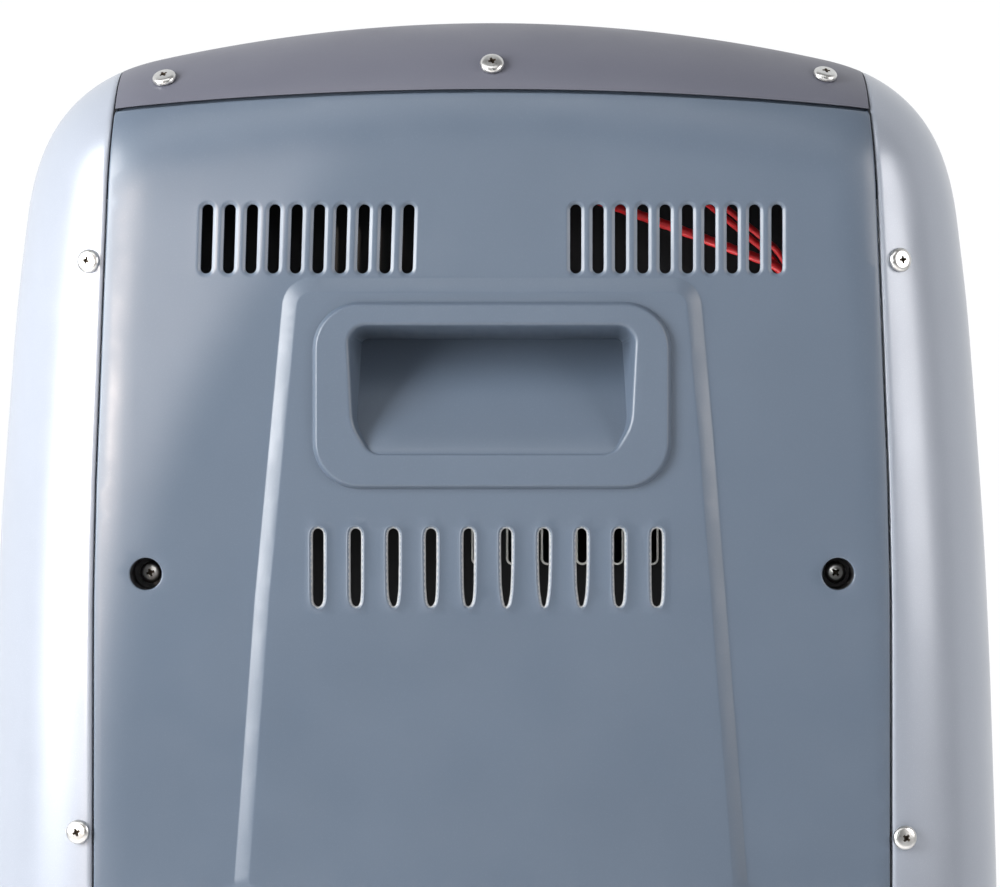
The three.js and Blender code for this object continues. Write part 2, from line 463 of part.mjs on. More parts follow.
// ---------------------------------------------------------------- chassis
for (const [name, s] of [['chassis_upright_left', 1], ['chassis_upright_right', -1]]) {
  let u = union(box(Math.min(s * 192, s * 195), Math.max(s * 192, s * 195), -100, 143, 80.2, 966),
    box(Math.min(s * 146, s * 195), Math.max(s * 146, s * 195), 140, 143, 672, 966),
    box(Math.min(s * 187, s * 195), Math.max(s * 187, s * 195), -103, -100, 80.2, 966));
  u = u.subtract(rod('y', 2.5, 100, 160, s * WELL_X, 0, WELL_Z, 8));
  for (const [x, z] of RAIL_SCREWS[s]) u = u.subtract(alongNormal(s * x, z, 3.4, -40, 6, 8));
  // the upright closes in under the narrowing shoulders
  put(name, u, 'zinc');
}
{
  let sh = box(-191, 191, -96, 100, SHELF_Z[0], SHELF_Z[1]).add(box(-191, 191, -96, -94, SHELF_Z[0] - 14, SHELF_Z[1]));
  sh = sh.subtract(rod('z', 6, 300, 340, 60, 60, 0, 10)).subtract(box(-150, -90, 62, 110, 300, 340)).subtract(rod('z', 9, 300, 340, -168, 52, 0, 8));
  put('burner_shelf', sh, 'zinc');
}
{
  const SHIELD_SHIFT = -3.3;   // the inner slots sit a little to one side of the outer ones
  let p = box(-190, 190, 50, 51.5, 486, 982);
  for (const x of ROW_X) p = p.subtract(prism(stadium(x + SHIELD_SHIFT, 797.2, 833.6, 5.2, 3), 40, 60));
  p = p.subtract(box(-60, 60, 40, 60, 960, 990));
  put('inner_rear_shield', p, 'black');
}
{
  const c = [[-171, -150], [-150, -14], [-112, 20], [112, 20], [150, -14], [171, -150]];
  const o = [[-173, -150], [-151.8, -13], [-112.6, 22], [112.6, 22], [151.8, -13], [173, -150]];
  let r = prism([...c, ...o.reverse()], 486, 893, 'xy');
  const floor = prism([[-170, -148], [-149.5, -15], [-112, 19], [112, 19], [149.5, -15], [170, -148]].map(([a, b]) => [a * 1.004, b + 0.8]), 486, 487.6, 'xy');
  r = r.add(floor);
  r = r.subtract(rod('z', TUBE_R + 2, 470, 500, RISER_X, AXIS_Y, 0, 16));
  put('reflector', r, 'bright');
}

// ---------------------------------------------------------------- burner
put('combustion_chamber', rod('x', 55, -168, 22, 0, AXIS_Y, AXIS_Z, 24).subtract(rod('x', 52.5, -165, 19, 0, AXIS_Y, AXIS_Z, 24))
  .subtract(rod('x', 31, 10, 40, 0, AXIS_Y, AXIS_Z, 20)).add(rod('z', 29, 448, 468, RISER_X, AXIS_Y, 0, 16)).subtract(rod('z', 26.5, 430, 480, RISER_X, AXIS_Y, 0, 16)), 'steel');
{
  let h = rod('x', 74, 56, 106, 0, AXIS_Y, AXIS_Z, 24).subtract(rod('x', 72, 58, 104, 0, AXIS_Y, AXIS_Z, 24));
  h = h.add(rod('x', 29, 23, 57, 0, AXIS_Y, AXIS_Z, 20)).subtract(rod('x', 27, 0, 80, 0, AXIS_Y, AXIS_Z, 20));
  h = h.subtract(rod('x', 6, 90, 120, 0, AXIS_Y, AXIS_Z, 12));
  h = h.subtract(box(60, 102, -140, -100, AXIS_Z - 25, AXIS_Z + 25));
  put('blower_housing', h, 'dark');
}
{
  let w = union(rod('x', 8, 66, 100, 0, AXIS_Y, AXIS_Z, 12), rod('x', 60, 97, 99, 0, AXIS_Y, AXIS_Z, 24), rod('x', 4, 66, 128, 0, AXIS_Y, AXIS_Z, 10));
  for (let i = 0; i < 9; i++) {
    const g = new THREE.BoxGeometry(34, 17, 1.6);
    g.rotateX(0.6);
    g.translate(81, 50, 0);
    g.rotateX(i * Math.PI / 4.5);
    g.translate(0, AXIS_Y, AXIS_Z);
    w = w.add(solid(g));
  }
  const ring = rod('x', 60, 64, 66, 0, AXIS_Y, AXIS_Z, 24).subtract(rod('x', 42, 60, 70, 0, AXIS_Y, AXIS_Z, 24));
  put('blower_wheel', w.add(ring), 'steel');
}
{
  let m = union(rod('x', 41, 107, 176, 0, AXIS_Y, AXIS_Z, 20), rod('x', 30, 175, 186, 0, AXIS_Y, AXIS_Z, 20));
  m = m.subtract(rod('x', 4.7, 100, 132, 0, AXIS_Y, AXIS_Z, 10));
  m = m.add(box(118, 166, AXIS_Y - 22, AXIS_Y + 22, 320.4, 366).subtract(box(126, 158, AXIS_Y - 60, AXIS_Y + 60, 320, 352)));
  put('burner_motor', m, 'black');
}
put('ignition_transformer', union(box(-30, 44, 30, 84, 320.4, 366), box(-36, 50, 40, 74, 320.4, 324),
  rod('z', 5, 365, 378, -14, 57, 0, 10), rod('z', 5, 365, 378, 28, 57, 0, 10)), 'dark');
put('fuel_pump', union(box(76, 126, 40, 78, 320.4, 352), rod('z', 13, 351, 384, 101, 59, 0, 16), rod('x', 4, 66, 77, 0, 59, 336, 10)), 'steel');
put('fuel_filter', union(rod('z', 11, 322, 350, 60, 60 - 36, 0, 14), rod('z', 6, 349, 356, 60, 24, 0, 10)).subtract(box(40, 80, 0, 20, 300, 330)).add(box(54, 66, 20, 28, 320.4, 324)), 'glass');
put('fuel_line', pipe(soften([[60, 60, 96], [60, 60, 336], [65.4, 59, 336]], 5, 3), 3, 1.6, 8), 'brass');

// ---------------------------------------------------------------- radiant coil and flue
{
  const pts = [[RISER_X, AXIS_Y, 452], [RISER_X, AXIS_Y, RUN_Z[0]]];
  let side = 1;
  for (let i = 0; i < RUN_Z.length; i++) {
    const last = i === RUN_Z.length - 1;
    const x = last ? 0 : side * (RUN_X + 42);
    pts.push([x, AXIS_Y, RUN_Z[i]]);
    if (!last) pts.push([x, AXIS_Y, RUN_Z[i + 1]]);
    side = -side;
  }
  pts.push([0, AXIS_Y, 930], [0, 0, 990], [0, 0, 1043.4]);
  put('radiant_coil', pipe(soften(pts, 41, 2), TUBE_R, TUBE_R - 2, 8), 'ceramic');
}
{
  let g = rod('z', GRILLE_R - 0.8, 1046.8, 1050, 0, 0, 0, GRILLE_N);
  for (let i = -4; i <= 4; i++) {
    const h = Math.sqrt(46 * 46 - (i * 10) ** 2);
    g = g.subtract(prism(stadium(i * 10, -h, h, 5, 2), 1040, 1060, 'xy'));
  }
  put('exhaust_grille', g, 'black');
}

// ---------------------------------------------------------------- front
{
  let f = shell.intersect(middle(GAP, BODY_BOTTOM - 5, 478, -200, -20));
  for (const x of ROW_X) f = f.subtract(prism(stadium(x - 2, 384, 420, ROW_W, 2), -200, -120));
  put('front_lower_panel', f, 'pearl');
}
const BUTTONS = [['button_power', -105, 8], ['button_timer', -75, 6], ['button_down', 75, 6], ['button_up', 105, 8]];
{
  let c = shell.intersect(middle(GAP, 903, 1030, -200, -20)).subtract(prism([...capLine(-1.2), [180, 1065], [-180, 1065]], -220, 0));
  c = c.subtract(prism(roundRect(-52, 52, 926, 966, 4, 2), -200, -100));
  for (const [, x, r] of BUTTONS) c = c.subtract(rod('y', r + 0.5, -200, -120, x, 0, 946, 16));
  put('control_panel', c, 'dark');
}
put('display_window', prism(roundRect(-51.6, 51.6, 926.4, 965.6, 3.6, 2), -169.6, -166.8), 'glass');
for (const [name, x, r] of BUTTONS) {
  put(name, union(rod('y', r, -172.6, -164, x, 0, 946, 14), rod('y', r + 1.6, -165.4, -163.4, x, 0, 946, 14),
    rod('y', 2, -164, -158.4, x, 0, 946, 6)), 'dark');
}
put('control_board', union(box(-125, 125, -155.6, -154, 916, 976), box(-40, 40, -163, -155.5, 930, 962), box(-90, -60, -154.1, -146, 925, 940),
  box(40, 70, -154.1, -142, 950, 970), ...BUTTONS.map(([, x]) => box(x - 4, x + 4, -157, -155.5, 942, 950))), 'board');
{
  const y0 = -168, y1 = -163;
  let g = box(-174.5, 174.5, y0, y1, 482, 897).subtract(box(-170, 170, -180, -150, 488, 893));
  for (let i = 1; i <= 10; i++) { const z = 488 + i * 36.82; g = g.add(box(-171, 171, y0 + 1, y0 + 4, z - 1.5, z + 1.5)); }
  for (const x of [-85, 0, 85]) g = g.add(box(x - 1.5, x + 1.5, y0 + 1, y0 + 4, 487, 894));
  put('front_guard', g, 'black');
}

// ---------------------------------------------------------------- wiring behind the back panel
put('red_lead_main', pipe(soften([[-10, 30, 972], [-20, 90, 978], [-46, 141, 966.6], [-134, 141, 934.5], [-155, 132, 888], [-160, 110, 640], [-150, 100, 400], [-60, 88, 340]], 24, 2), 2.2, 0, 7), 'red');
put('red_lead_second', pipe(soften([[-18, 22, 976], [-60, 112, 982], [-98.9, 131, 969.8], [-131.5, 131, 943.1], [-146, 127, 915], [-164, 120, 860], [-168, 104, 640], [-166, 94, 420], [-166, 60, 334]], 24, 2), 1.4, 0, 5), 'red');
put('red_lead_third', pipe(soften([[-28, 16, 980], [-62, 104, 985], [-96.7, 126, 967.2], [-129.3, 126, 940.5], [-142, 122, 912], [-171, 114, 850], [-176, 98, 640], [-174, 88, 420], [-174, 50, 334]], 24, 2), 1.4, 0, 5), 'red');

// ---------------------------------------------------------------- casters
const CASTERS = [['front_left', 1, -1], ['front_right', -1, -1], ['rear_left', 1, 1], ['rear_right', -1, 1]];
for (const [name, i, j] of CASTERS) {
  const cx = i * CASTER_X, cy = j * CASTER_Y, wy = cy + TRAIL;
  let f = union(rod('z', 20, 60.4, 65.6, cx, cy, 0, 16), rod('z', 6.1, 62, 75, cx, cy, 0, 10),
    box(cx - 16.4, cx + 16.4, cy - 12, cy + 22, 57.6, 60.6));
  for (const k of [1, -1]) {
    const leg = [[cy - 12, 60.5], [wy - 7, 25], [wy - 4, 19], [wy + 4, 19], [wy + 7, 25], [cy + 22, 60.5]];
    f = f.add(prism(leg, Math.min(cx + k * 13.6, cx + k * 16.4), Math.max(cx + k * 13.6, cx + k * 16.4), 'yz'));
  }
  f = f.add(rod('x', 3.6, cx - 18.4, cx + 18.4, 0, wy, WHEEL_R, 10));
  const py = cy - 15.6, pz = 54;
  if (j < 0) {
    for (const k of [1, -1]) f = f.add(prism([[cy - 11, 60.5], [cy - 20, 60.5], [cy - 20, 49], [cy - 11, 49]],
      Math.min(cx + k * 13.6, cx + k * 16.4), Math.max(cx + k * 13.6, cx + k * 16.4), 'yz'));
    f = f.subtract(rod('x', 2.4, cx - 20, cx + 20, 0, py, pz, 8));
  }
  put(`caster_fork_${name}`, f, 'zinc');
  const g = new THREE.LatheGeometry([[0, -12.6], [7, -12.6], [7, -9.2], [WHEEL_R - 4, -10], [WHEEL_R, -6.5], [WHEEL_R, 6.5],
    [WHEEL_R - 4, 10], [7, 9.2], [7, 12.6], [0, 12.6]].map(([a, b]) => new THREE.Vector2(a, b)), 18);
  g.rotateZ(-Math.PI / 2);
  g.translate(cx, wy, WHEEL_R);
  put(`caster_wheel_${name}`, solid(g).subtract(rod('x', 4.1, cx - 30, cx + 30, 0, wy, WHEEL_R, 12)), 'rubber');
  if (j < 0) {
    // pedal: hub on a pin ahead of the wheel, tread and a shoe that comes down on the tyre
    const b = union(rod('x', 3.6, cx - 12.8, cx + 12.8, 0, py, pz, 10), rod('x', 2, cx - 17, cx + 17, 0, py, pz, 8),
      box(cx - 11, cx + 11, py - 28, py - 1, pz - 1.4, pz + 1.4), box(cx - 12, cx + 12, py - 30, py - 22, pz - 1.4, pz + 3.4),
      prism([[py - 2.5, pz], [py - 2, 38], [py + 4.6, 36], [py + 2.4, pz]], cx - 9, cx + 9, 'yz'));
    put(`brake_pedal_${name}`, b, 'dark');
  }
}

export default root;
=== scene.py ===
"""Visual model of the oil-fired tower heater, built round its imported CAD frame."""
import json
import math

import bpy
import bmesh
import numpy as np
from mathutils import Vector, Matrix, Quaternion, kdtree
from mathutils.geometry import delaunay_2d_cdt


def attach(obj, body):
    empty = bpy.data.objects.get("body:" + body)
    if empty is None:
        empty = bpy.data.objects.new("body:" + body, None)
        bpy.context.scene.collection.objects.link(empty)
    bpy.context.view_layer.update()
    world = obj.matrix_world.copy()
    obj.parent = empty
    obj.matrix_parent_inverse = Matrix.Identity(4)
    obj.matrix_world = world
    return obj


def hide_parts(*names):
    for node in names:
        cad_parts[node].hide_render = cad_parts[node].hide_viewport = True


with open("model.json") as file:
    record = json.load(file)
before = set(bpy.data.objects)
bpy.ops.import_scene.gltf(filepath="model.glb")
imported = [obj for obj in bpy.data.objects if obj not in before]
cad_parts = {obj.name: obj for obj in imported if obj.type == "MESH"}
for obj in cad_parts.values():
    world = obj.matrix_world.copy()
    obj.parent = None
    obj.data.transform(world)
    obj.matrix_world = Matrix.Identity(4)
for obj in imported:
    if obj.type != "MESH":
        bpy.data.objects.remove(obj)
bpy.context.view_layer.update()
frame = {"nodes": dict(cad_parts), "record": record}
nodes = frame["nodes"]
MM = 0.001

# ------------------------------------------------------------------ camera
cam_data = bpy.data.cameras.new("camera")
cam = bpy.data.objects.new("camera", cam_data)
bpy.context.scene.collection.objects.link(cam)
cam.location = (-0.0036, 1.670, 0.8548)
cam.rotation_euler = (math.radians(90.0), 0.0, math.radians(180.0))
cam_data.sensor_width = 36.0
cam_data.lens = 120.8
cam_data.clip_end = 100.0
cam_data.dof.use_dof = False
bpy.context.scene.camera = cam

# ------------------------------------------------------------------ cabinet skin, mm
TOP, HALF_D, R_EDGE, SQUARE, ARCH = 1050.0, 170.0, 62.0, 2.5, 0.00072
_z = np.arange(0.0, 1120.0, 1.0)


def _smooth(table, width):
    v = np.interp(_z, [t[0] for t in table], [t[1] for t in table])
    k = np.hanning(width + 2)
    k /= k.sum()
    pad = len(k) // 2
    e = np.concatenate([np.full(pad, v[0]), v, np.full(pad, v[-1])])
    return np.convolve(e, k, "same")[pad:-pad]


_W = _smooth([(70, 238), (300, 238), (500, 236.5), (656, 234), (752, 231), (808, 228.5), (864, 224.6), (919, 220.5),
              (948, 217), (977, 213.5), (1070, 213.5)], 61)
_S = _smooth([(60, 178.7), (785, 178.5), (840, 177.3), (865, 176.3), (919, 174.3), (972, 172.3), (1006, 170.6), (1075, 170.6)], 31)
PANEL_JOINT = 655.0


def half_width(z):
    return np.interp(z, _z, _W)


def seam_x(z):
    return np.interp(z, _z, _S)


def crown(x):
    return TOP - ARCH * x * x


def cap_seam(x):
    return 1013.5 - 0.00027 * x * x


def skin_y(x, z):
    a = np.maximum(0.0, R_EDGE - (half_width(z) - np.abs(x)))
    b = np.maximum(0.0, R_EDGE - (crown(x) - z))
    q = (a ** SQUARE + b ** SQUARE) ** (1.0 / SQUARE)
    return HALF_D - R_EDGE + np.sqrt(np.maximum(0.0, R_EDGE ** 2 - q ** 2))


def skin_frame(x, z):
    """Point and outward normal on the back skin."""
    e = 0.5
    y = float(skin_y(x, z))
    dx = float(skin_y(x + e, z) - skin_y(x - e, z)) / (2 * e)
    dz = float(skin_y(x, z + e) - skin_y(x, z - e)) / (2 * e)
    n = Vector((-dx, 1.0, -dz)).normalized()
    return Vector((x, y, z)), n


# ------------------------------------------------------------------ plane shapes
def stadium(cx, z0, z1, w, n=10):
    r = w / 2.0
    p = []
    for i in range(n + 1):
        t = math.pi * i / n
        p.append((cx + r * math.cos(t), z1 - r + r * math.sin(t)))
    for i in range(n + 1):
        t = math.pi + math.pi * i / n
        p.append((cx + r * math.cos(t), z0 + r + r * math.sin(t)))
    return np.array(densify(p, 3.5))


def rrect(x0, x1, z0, z1, r, n=8, step=4.0):
    p = []
    for cx, cz, q in ((x1 - r, z1 - r, 0), (x0 + r, z1 - r, 1), (x0 + r, z0 + r, 2), (x1 - r, z0 + r, 3)):
        for i in range(n + 1):
            t = (q + i / n) * math.pi / 2
            p.append((cx + r * math.cos(t), cz + r * math.sin(t)))
    return np.array(densify(p, step))


def circle(cx, cz, r, n=40):
    t = np.linspace(0, 2 * math.pi, n, endpoint=False)
    return np.stack([cx + r * np.cos(t), cz + r * np.sin(t)], 1)


def densify(p, step, closed=True):
    out = []
    n = len(p)
    for i in range(n if closed else n - 1):
        a, b = p[i], p[(i + 1) % n]
        d = math.hypot(b[0] - a[0], b[1] - a[1])
        if d < 1e-6:
            continue
        k = max(1, int(math.ceil(d / step)))
        for j in range(k):
            out.append((a[0] + (b[0] - a[0]) * j / k, a[1] + (b[1] - a[1]) * j / k))
    if not closed:
        out.append(tuple(p[-1]))
    return out


def round_poly(points, r, n=8, step=4.0):
    """A closed polygon with its corners turned into arcs of radius r (or a list of radii)."""
    m = len(points)
    rs = r if isinstance(r, (list, tuple)) else [r] * m
    out = []
    for i in range(m):
        a, b, c = (Vector(points[(i - 1) % m]), Vector(points[i]), Vector(points[(i + 1) % m]))
        u, v = (a - b).normalized(), (c - b).normalized()
        ang = u.angle(v)
        if rs[i] <= 0.01 or ang > math.pi - 0.02:
            out.append(tuple(b))
            continue
        t = rs[i] / math.tan(ang / 2)
        h = rs[i] / math.sin(ang / 2)
        o = b + (u + v).normalized() * h
        p0, p1 = b + u * t - o, b + v * t - o
        sweep = p0.angle_signed(p1) * -1
        for k in range(n + 1):
            w = p0.copy()
            w.rotate(Matrix.Rotation(sweep * k / n, 2))
            out.append(tuple(o + w))
    return np.array(densify(out, step))


def offset_loop(loop, d):
    """Moves a closed loop outwards by d (a number or one per vertex); the loop runs anticlockwise or not."""
    p = np.asarray(loop, float)
    t = np.roll(p, -1, 0) - np.roll(p, 1, 0)
    t /= np.maximum(1e-9, np.linalg.norm(t, axis=1))[:, None]
    area = 0.5 * np.sum(p[:, 0] * np.roll(p[:, 1], -1) - np.roll(p[:, 0], -1) * p[:, 1])
    n = np.stack([t[:, 1], -t[:, 0]], 1) * (1 if area > 0 else -1)
    return p + n * (d if np.isscalar(d) else np.asarray(d)[:, None])


def sd_poly(x, z, poly):
    """Signed distance to a closed polygon, negative inside."""
    x, z = np.asarray(x, float), np.asarray(z, float)
    best = np.full(x.shape, 1e18)
    inside = np.zeros(x.shape, bool)
    p = np.asarray(poly, float)
    n = len(p)
    for i in range(n):
        ax, az = p[i]
        bx, bz = p[(i + 1) % n]
        ex, ez = bx - ax, bz - az
        wx, wz = x - ax, z - az
        t = np.clip((wx * ex + wz * ez) / max(1e-12, ex * ex + ez * ez), 0, 1)
        best = np.minimum(best, (wx - ex * t) ** 2 + (wz - ez * t) ** 2)
        cond = ((az <= z) & (bz > z)) | ((bz <= z) & (az > z))
        if abs(ez) > 1e-12:
            cross = ax + (z - az) / ez * ex
            inside ^= cond & (x < cross)
    d = np.sqrt(best)
    return np.where(inside, -d, d)


def sd_stadium(x, z, cx, z0, z1, w):
    r = w / 2
    return np.hypot(x - cx, z - np.clip(z, z0 + r, z1 - r)) - r


def ramp(t, e=0.09):
    f = lambda u: np.sqrt(u * u + e * e)
    return 0.5 * (f(t) - f(t - 1.0) + 1.0)


def crowned(t):
    """A rise from 0 to 1 that starts steep and eases off."""
    u = ramp(t, 0.05)
    return u * (1.5 - 0.5 * u)


def roll_off(d, r):
    """Drop of a rounded edge of radius r, at distance d back from it."""
    u = np.clip(r - d, 0, r)
    return r - np.sqrt(np.maximum(0, r * r - u * u))


# ------------------------------------------------------------------ mesh makers
def link(name, verts, faces, mats, face_mats=None, smooth=True, sharp=38.0):
    me = bpy.data.meshes.new(name)
    me.from_pydata([tuple(v) for v in verts], [], [tuple(int(i) for i in f) for f in faces])
    me.update()
    ob = bpy.data.objects.new(name, me)
    bpy.context.scene.collection.objects.link(ob)
    for m in mats:
        me.materials.append(m)
    if face_mats is not None:
        me.polygons.foreach_set("material_index", np.asarray(face_mats, dtype=np.int32))
    if smooth:
        me.polygons.foreach_set("use_smooth", [True] * len(me.polygons))
        me.set_sharp_from_angle(angle=math.radians(sharp))
    me.update()
    return ob


def patch(name, outline, holes, loops, lines, spacing, height, thick, mats, side=1.0, rim=None, edge_r=0.8, dense=()):
    """A moulded or pressed sheet: a height field over the xz plane with holes, closed by an equal sheet behind it.
    loops and lines put vertices along features. rim is (width, material index, holes): faces that close to one of
    those holes take the other material."""
    pts, edges = [], []

    def add(loop, closed=True):
        s = len(pts)
        pts.extend([tuple(p) for p in loop])
        n = len(loop)
        for i in range(n if closed else n - 1):
            edges.append((s + i, s + (i + 1) % n))

    add(outline)
    for d in (0.12, 0.4, edge_r):
        add(offset_loop(outline, -d))
    for h in holes:
        add(h)
    for h in loops:
        add(h)
    for h in lines:
        add(h, False)
    tree = kdtree.KDTree(len(pts))
    for i, p in enumerate(pts):
        tree.insert((p[0], p[1], 0), i)
    tree.balance()
    lo, hi = np.min(outline, 0), np.max(outline, 0)
    gx = np.arange(lo[0] + spacing / 2, hi[0], spacing)
    gz = np.arange(lo[1] + spacing / 2, hi[1], spacing)
    cand = [(x, z) for x in gx for z in gz]
    for (x0, x1, z0, z1, s) in dense:
        cand += [(x, z) for x in np.arange(x0, x1, s) for z in np.arange(z0, z1, s)]
    cand = np.array(cand)
    keep = sd_poly(cand[:, 0], cand[:, 1], outline) < -0.4 * spacing
    for h in holes:
        keep &= sd_poly(cand[:, 0], cand[:, 1], h) > 0.2 * spacing
    extra = []
    for p in cand[keep]:
        if tree.find((p[0], p[1], 0))[2] > spacing * 0.45:
            extra.append(tuple(p))
    pts += extra
    vs, _, fs, _, _, _ = delaunay_2d_cdt([Vector(p) for p in pts], edges, [], 0, 1e-4)
    v = np.array([(p.x, p.y) for p in vs])
    f = np.array([list(t) for t in fs if len(t) == 3])
    c = v[f].mean(1)
    ok = sd_poly(c[:, 0], c[:, 1], outline) < 0
    for h in holes:
        lo_h, hi_h = h.min(0) - 1, h.max(0) + 1
        near = np.all((c > lo_h) & (c < hi_h), axis=1) & ok
        idx = np.nonzero(near)[0]
        if len(idx):
            ok[idx[sd_poly(c[idx, 0], c[idx, 1], h) < 0]] = False
    f = f[ok]
    # drop slivers' unused vertices
    used = np.unique(f)
    remap = -np.ones(len(v), int)
    remap[used] = np.arange(len(used))
    v, f = v[used], remap[f]
    area = (v[f[:, 1], 0] - v[f[:, 0], 0]) * (v[f[:, 2], 1] - v[f[:, 0], 1]) - (v[f[:, 2], 0] - v[f[:, 0], 0]) * (v[f[:, 1], 1] - v[f[:, 0], 1])
    flip = area > 0                                # seen from +Y the xz plane is mirrored
    f[flip] = f[flip][:, ::-1]
    y = height(v[:, 0], v[:, 1])
    n = len(v)
    front = np.stack([v[:, 0], y * side, v[:, 1]], 1)
    back = np.stack([v[:, 0], (y - thick) * side, v[:, 1]], 1)
    tri_f = f if side > 0 else f[:, ::-1]
    tri_b = tri_f[:, ::-1] + n
    count = {}
    for t in tri_f:
        for a, b in ((t[0], t[1]), (t[1], t[2]), (t[2], t[0])):
            count[(a, b)] = 1
    walls = [(b, a, a + n, b + n) for (a, b) in count if (b, a) not in count]
    faces = [tuple(t) for t in tri_f] + [tuple(t) for t in tri_b] + walls
    fm = None
    if rim is not None:
        width, index, rim_holes = rim
        c = v[f].mean(1)
        wx, wz = np.array([v[w[0]][0] for w in walls]), np.array([v[w[0]][1] for w in walls])
        d, dw = np.full(len(c), 1e9), np.full(len(walls), 1e9)
        for h in rim_holes:
            lo_h, hi_h = h.min(0) - 3, h.max(0) + 3
            k = np.nonzero(np.all((c > lo_h) & (c < hi_h), axis=1))[0]
            d[k] = np.minimum(d[k], sd_poly(c[k, 0], c[k, 1], h))
            k = np.nonzero((wx > lo_h[0]) & (wx < hi_h[0]) & (wz > lo_h[1]) & (wz < hi_h[1]))[0]
            dw[k] = np.minimum(dw[k], np.abs(sd_poly(wx[k], wz[k], h)))
        fm = np.zeros(len(faces), int)
        fm[:len(f)][d < width] = index
        fm[2 * len(f):][dw < 0.1] = index
    return link(name, np.concatenate([front, back]) * MM, faces, mats, fm)


def grid_shell(name, outer, inner, mats, closed=False, bevel=0.6):
    """Closes two (rows, columns, 3) grids of the same shape into one thin solid."""
    r, c, _ = outer.shape
    n = r * c
    vo, vi = outer.reshape(-1, 3), inner.reshape(-1, 3)
    faces = []
    idx = lambda i, j: i * c + j
    for i in range(r - 1):
        for j in range(c - 1):
            a, b, d, e = idx(i, j), idx(i, j + 1), idx(i + 1, j + 1), idx(i + 1, j)
            faces.append((a, b, d, e))
            faces.append((a + n, e + n, d + n, b + n))
    for i in range(r - 1):
        faces.append((idx(i, 0), idx(i + 1, 0), idx(i + 1, 0) + n, idx(i, 0) + n))
        faces.append((idx(i, c - 1), idx(i, c - 1) + n, idx(i + 1, c - 1) + n, idx(i + 1, c - 1)))
    for j in range(c - 1):
        faces.append((idx(0, j), idx(0, j) + n, idx(0, j + 1) + n, idx(0, j + 1)))
        faces.append((idx(r - 1, j), idx(r - 1, j + 1), idx(r - 1, j + 1) + n, idx(r - 1, j) + n))
    ob = link(name, np.concatenate([vo, vi]) * MM, faces, mats)
    bm = bmesh.new()
    bm.from_mesh(ob.data)
    bmesh.ops.remove_doubles(bm, verts=bm.verts, dist=1e-6)
    bmesh.ops.recalc_face_normals(bm, faces=bm.faces)
    bm.to_mesh(ob.data)
    bm.free()
    for p in ob.data.polygons:
        p.use_smooth = True
    ob.data.set_sharp_from_angle(angle=math.radians(40))
    if bevel:
        add_bevel(ob, bevel, 3, 40)
    return ob


def add_bevel(ob, width_mm, segments=2, angle=30):
    m = ob.modifiers.new("edge", "BEVEL")
    m.width = width_mm * MM
    m.segments = segments
    m.limit_method = "ANGLE"
    m.angle_limit = math.radians(angle)
    m.use_clamp_overlap = True
    m.harden_normals = True
    return m


def bake(ob):
    """Applies an object's modifiers."""
    dg = bpy.context.evaluated_depsgraph_get()
    me = bpy.data.meshes.new_from_object(ob.evaluated_get(dg))
    ob.modifiers.clear()
    ob.data = me
    return ob


def cut(ob, cutters, mode="DIFFERENCE"):
    for c in cutters:
        m = ob.modifiers.new("cut", "BOOLEAN")
        m.operation = mode
        m.object = c
        m.solver = "EXACT"
    bpy.context.view_layer.update()
    bake(ob)
    for c in cutters:
        bpy.data.objects.remove(c, do_unlink=True)
    for p in ob.data.polygons:
        p.use_smooth = True
    ob.data.set_sharp_from_angle(angle=math.radians(35))
    return ob


def lathe(name, profile, mats, axis=(0, 0, 1), at=(0, 0, 0), n=48, sharp=35, face_mats=None):
    """Turns a profile of (radius, height) in mm about an axis. Ends on the axis close themselves."""
    verts, faces, fm = [], [], []
    rows = []
    for r, h in profile:
        if r < 1e-6:
            rows.append([len(verts)])
            verts.append((0, 0, h))
        else:
            rows.append(list(range(len(verts), len(verts) + n)))
            for i in range(n):
                t = 2 * math.pi * i / n
                verts.append((r * math.cos(t), r * math.sin(t), h))
    for k in range(len(rows) - 1):
        a, b = rows[k], rows[k + 1]
        m = face_mats[k] if face_mats else 0
        for i in range(n):
            j = (i + 1) % n
            if len(a) == 1 and len(b) == 1:
                continue
            if len(a) == 1:
                faces.append((a[0], b[j], b[i]))
            elif len(b) == 1:
                faces.append((a[i], a[j], b[0]))
            else:
                faces.append((a[i], a[j], b[j], b[i]))
            fm.append(m)
    rot = Vector((0, 0, 1)).rotation_difference(Vector(axis).normalized())
    o = Vector(at)
    vs = [tuple((rot @ Vector(v) + o) * MM) for v in verts]
    ob = link(name, vs, faces, mats, fm, True, sharp)
    bm = bmesh.new()
    bm.from_mesh(ob.data)
    bmesh.ops.recalc_face_normals(bm, faces=bm.faces)
    bm.to_mesh(ob.data)
    bm.free()
    return ob


def rounded_profile(profile, r, n=4):
    """Rounds the inner corners of an open (radius, height) profile."""
    out = [profile[0]]
    for i in range(1, len(profile) - 1):
        a, b, c = Vector(profile[i - 1]), Vector(profile[i]), Vector(profile[i + 1])
        l = min(r, (a - b).length * 0.45, (c - b).length * 0.45)
        p, q = b + (a - b).normalized() * l, b + (c - b).normalized() * l
        for k in range(n + 1):
            t = k / n
            out.append(tuple(p * (1 - t) ** 2 + b * 2 * t * (1 - t) + q * t * t))
    out.append(profile[-1])
    return out


def path_points(points, step):
    """Catmull-Rom through points, sampled about every step mm."""
    P = [Vector(p) for p in points]
    P = [P[0] * 2 - P[1]] + P + [P[-1] * 2 - P[-2]]
    out = []
    for i in range(1, len(P) - 2):
        a, b, c, d = P[i - 1], P[i], P[i + 1], P[i + 2]
        k = max(2, int((c - b).length / step))
        for j in range(k):
            t = j / k
            out.append(0.5 * ((2 * b) + (c - a) * t + (2 * a - 5 * b + 4 * c - d) * t * t + (3 * b - a - 3 * c + d) * t ** 3))
    out.append(P[-2])
    return out


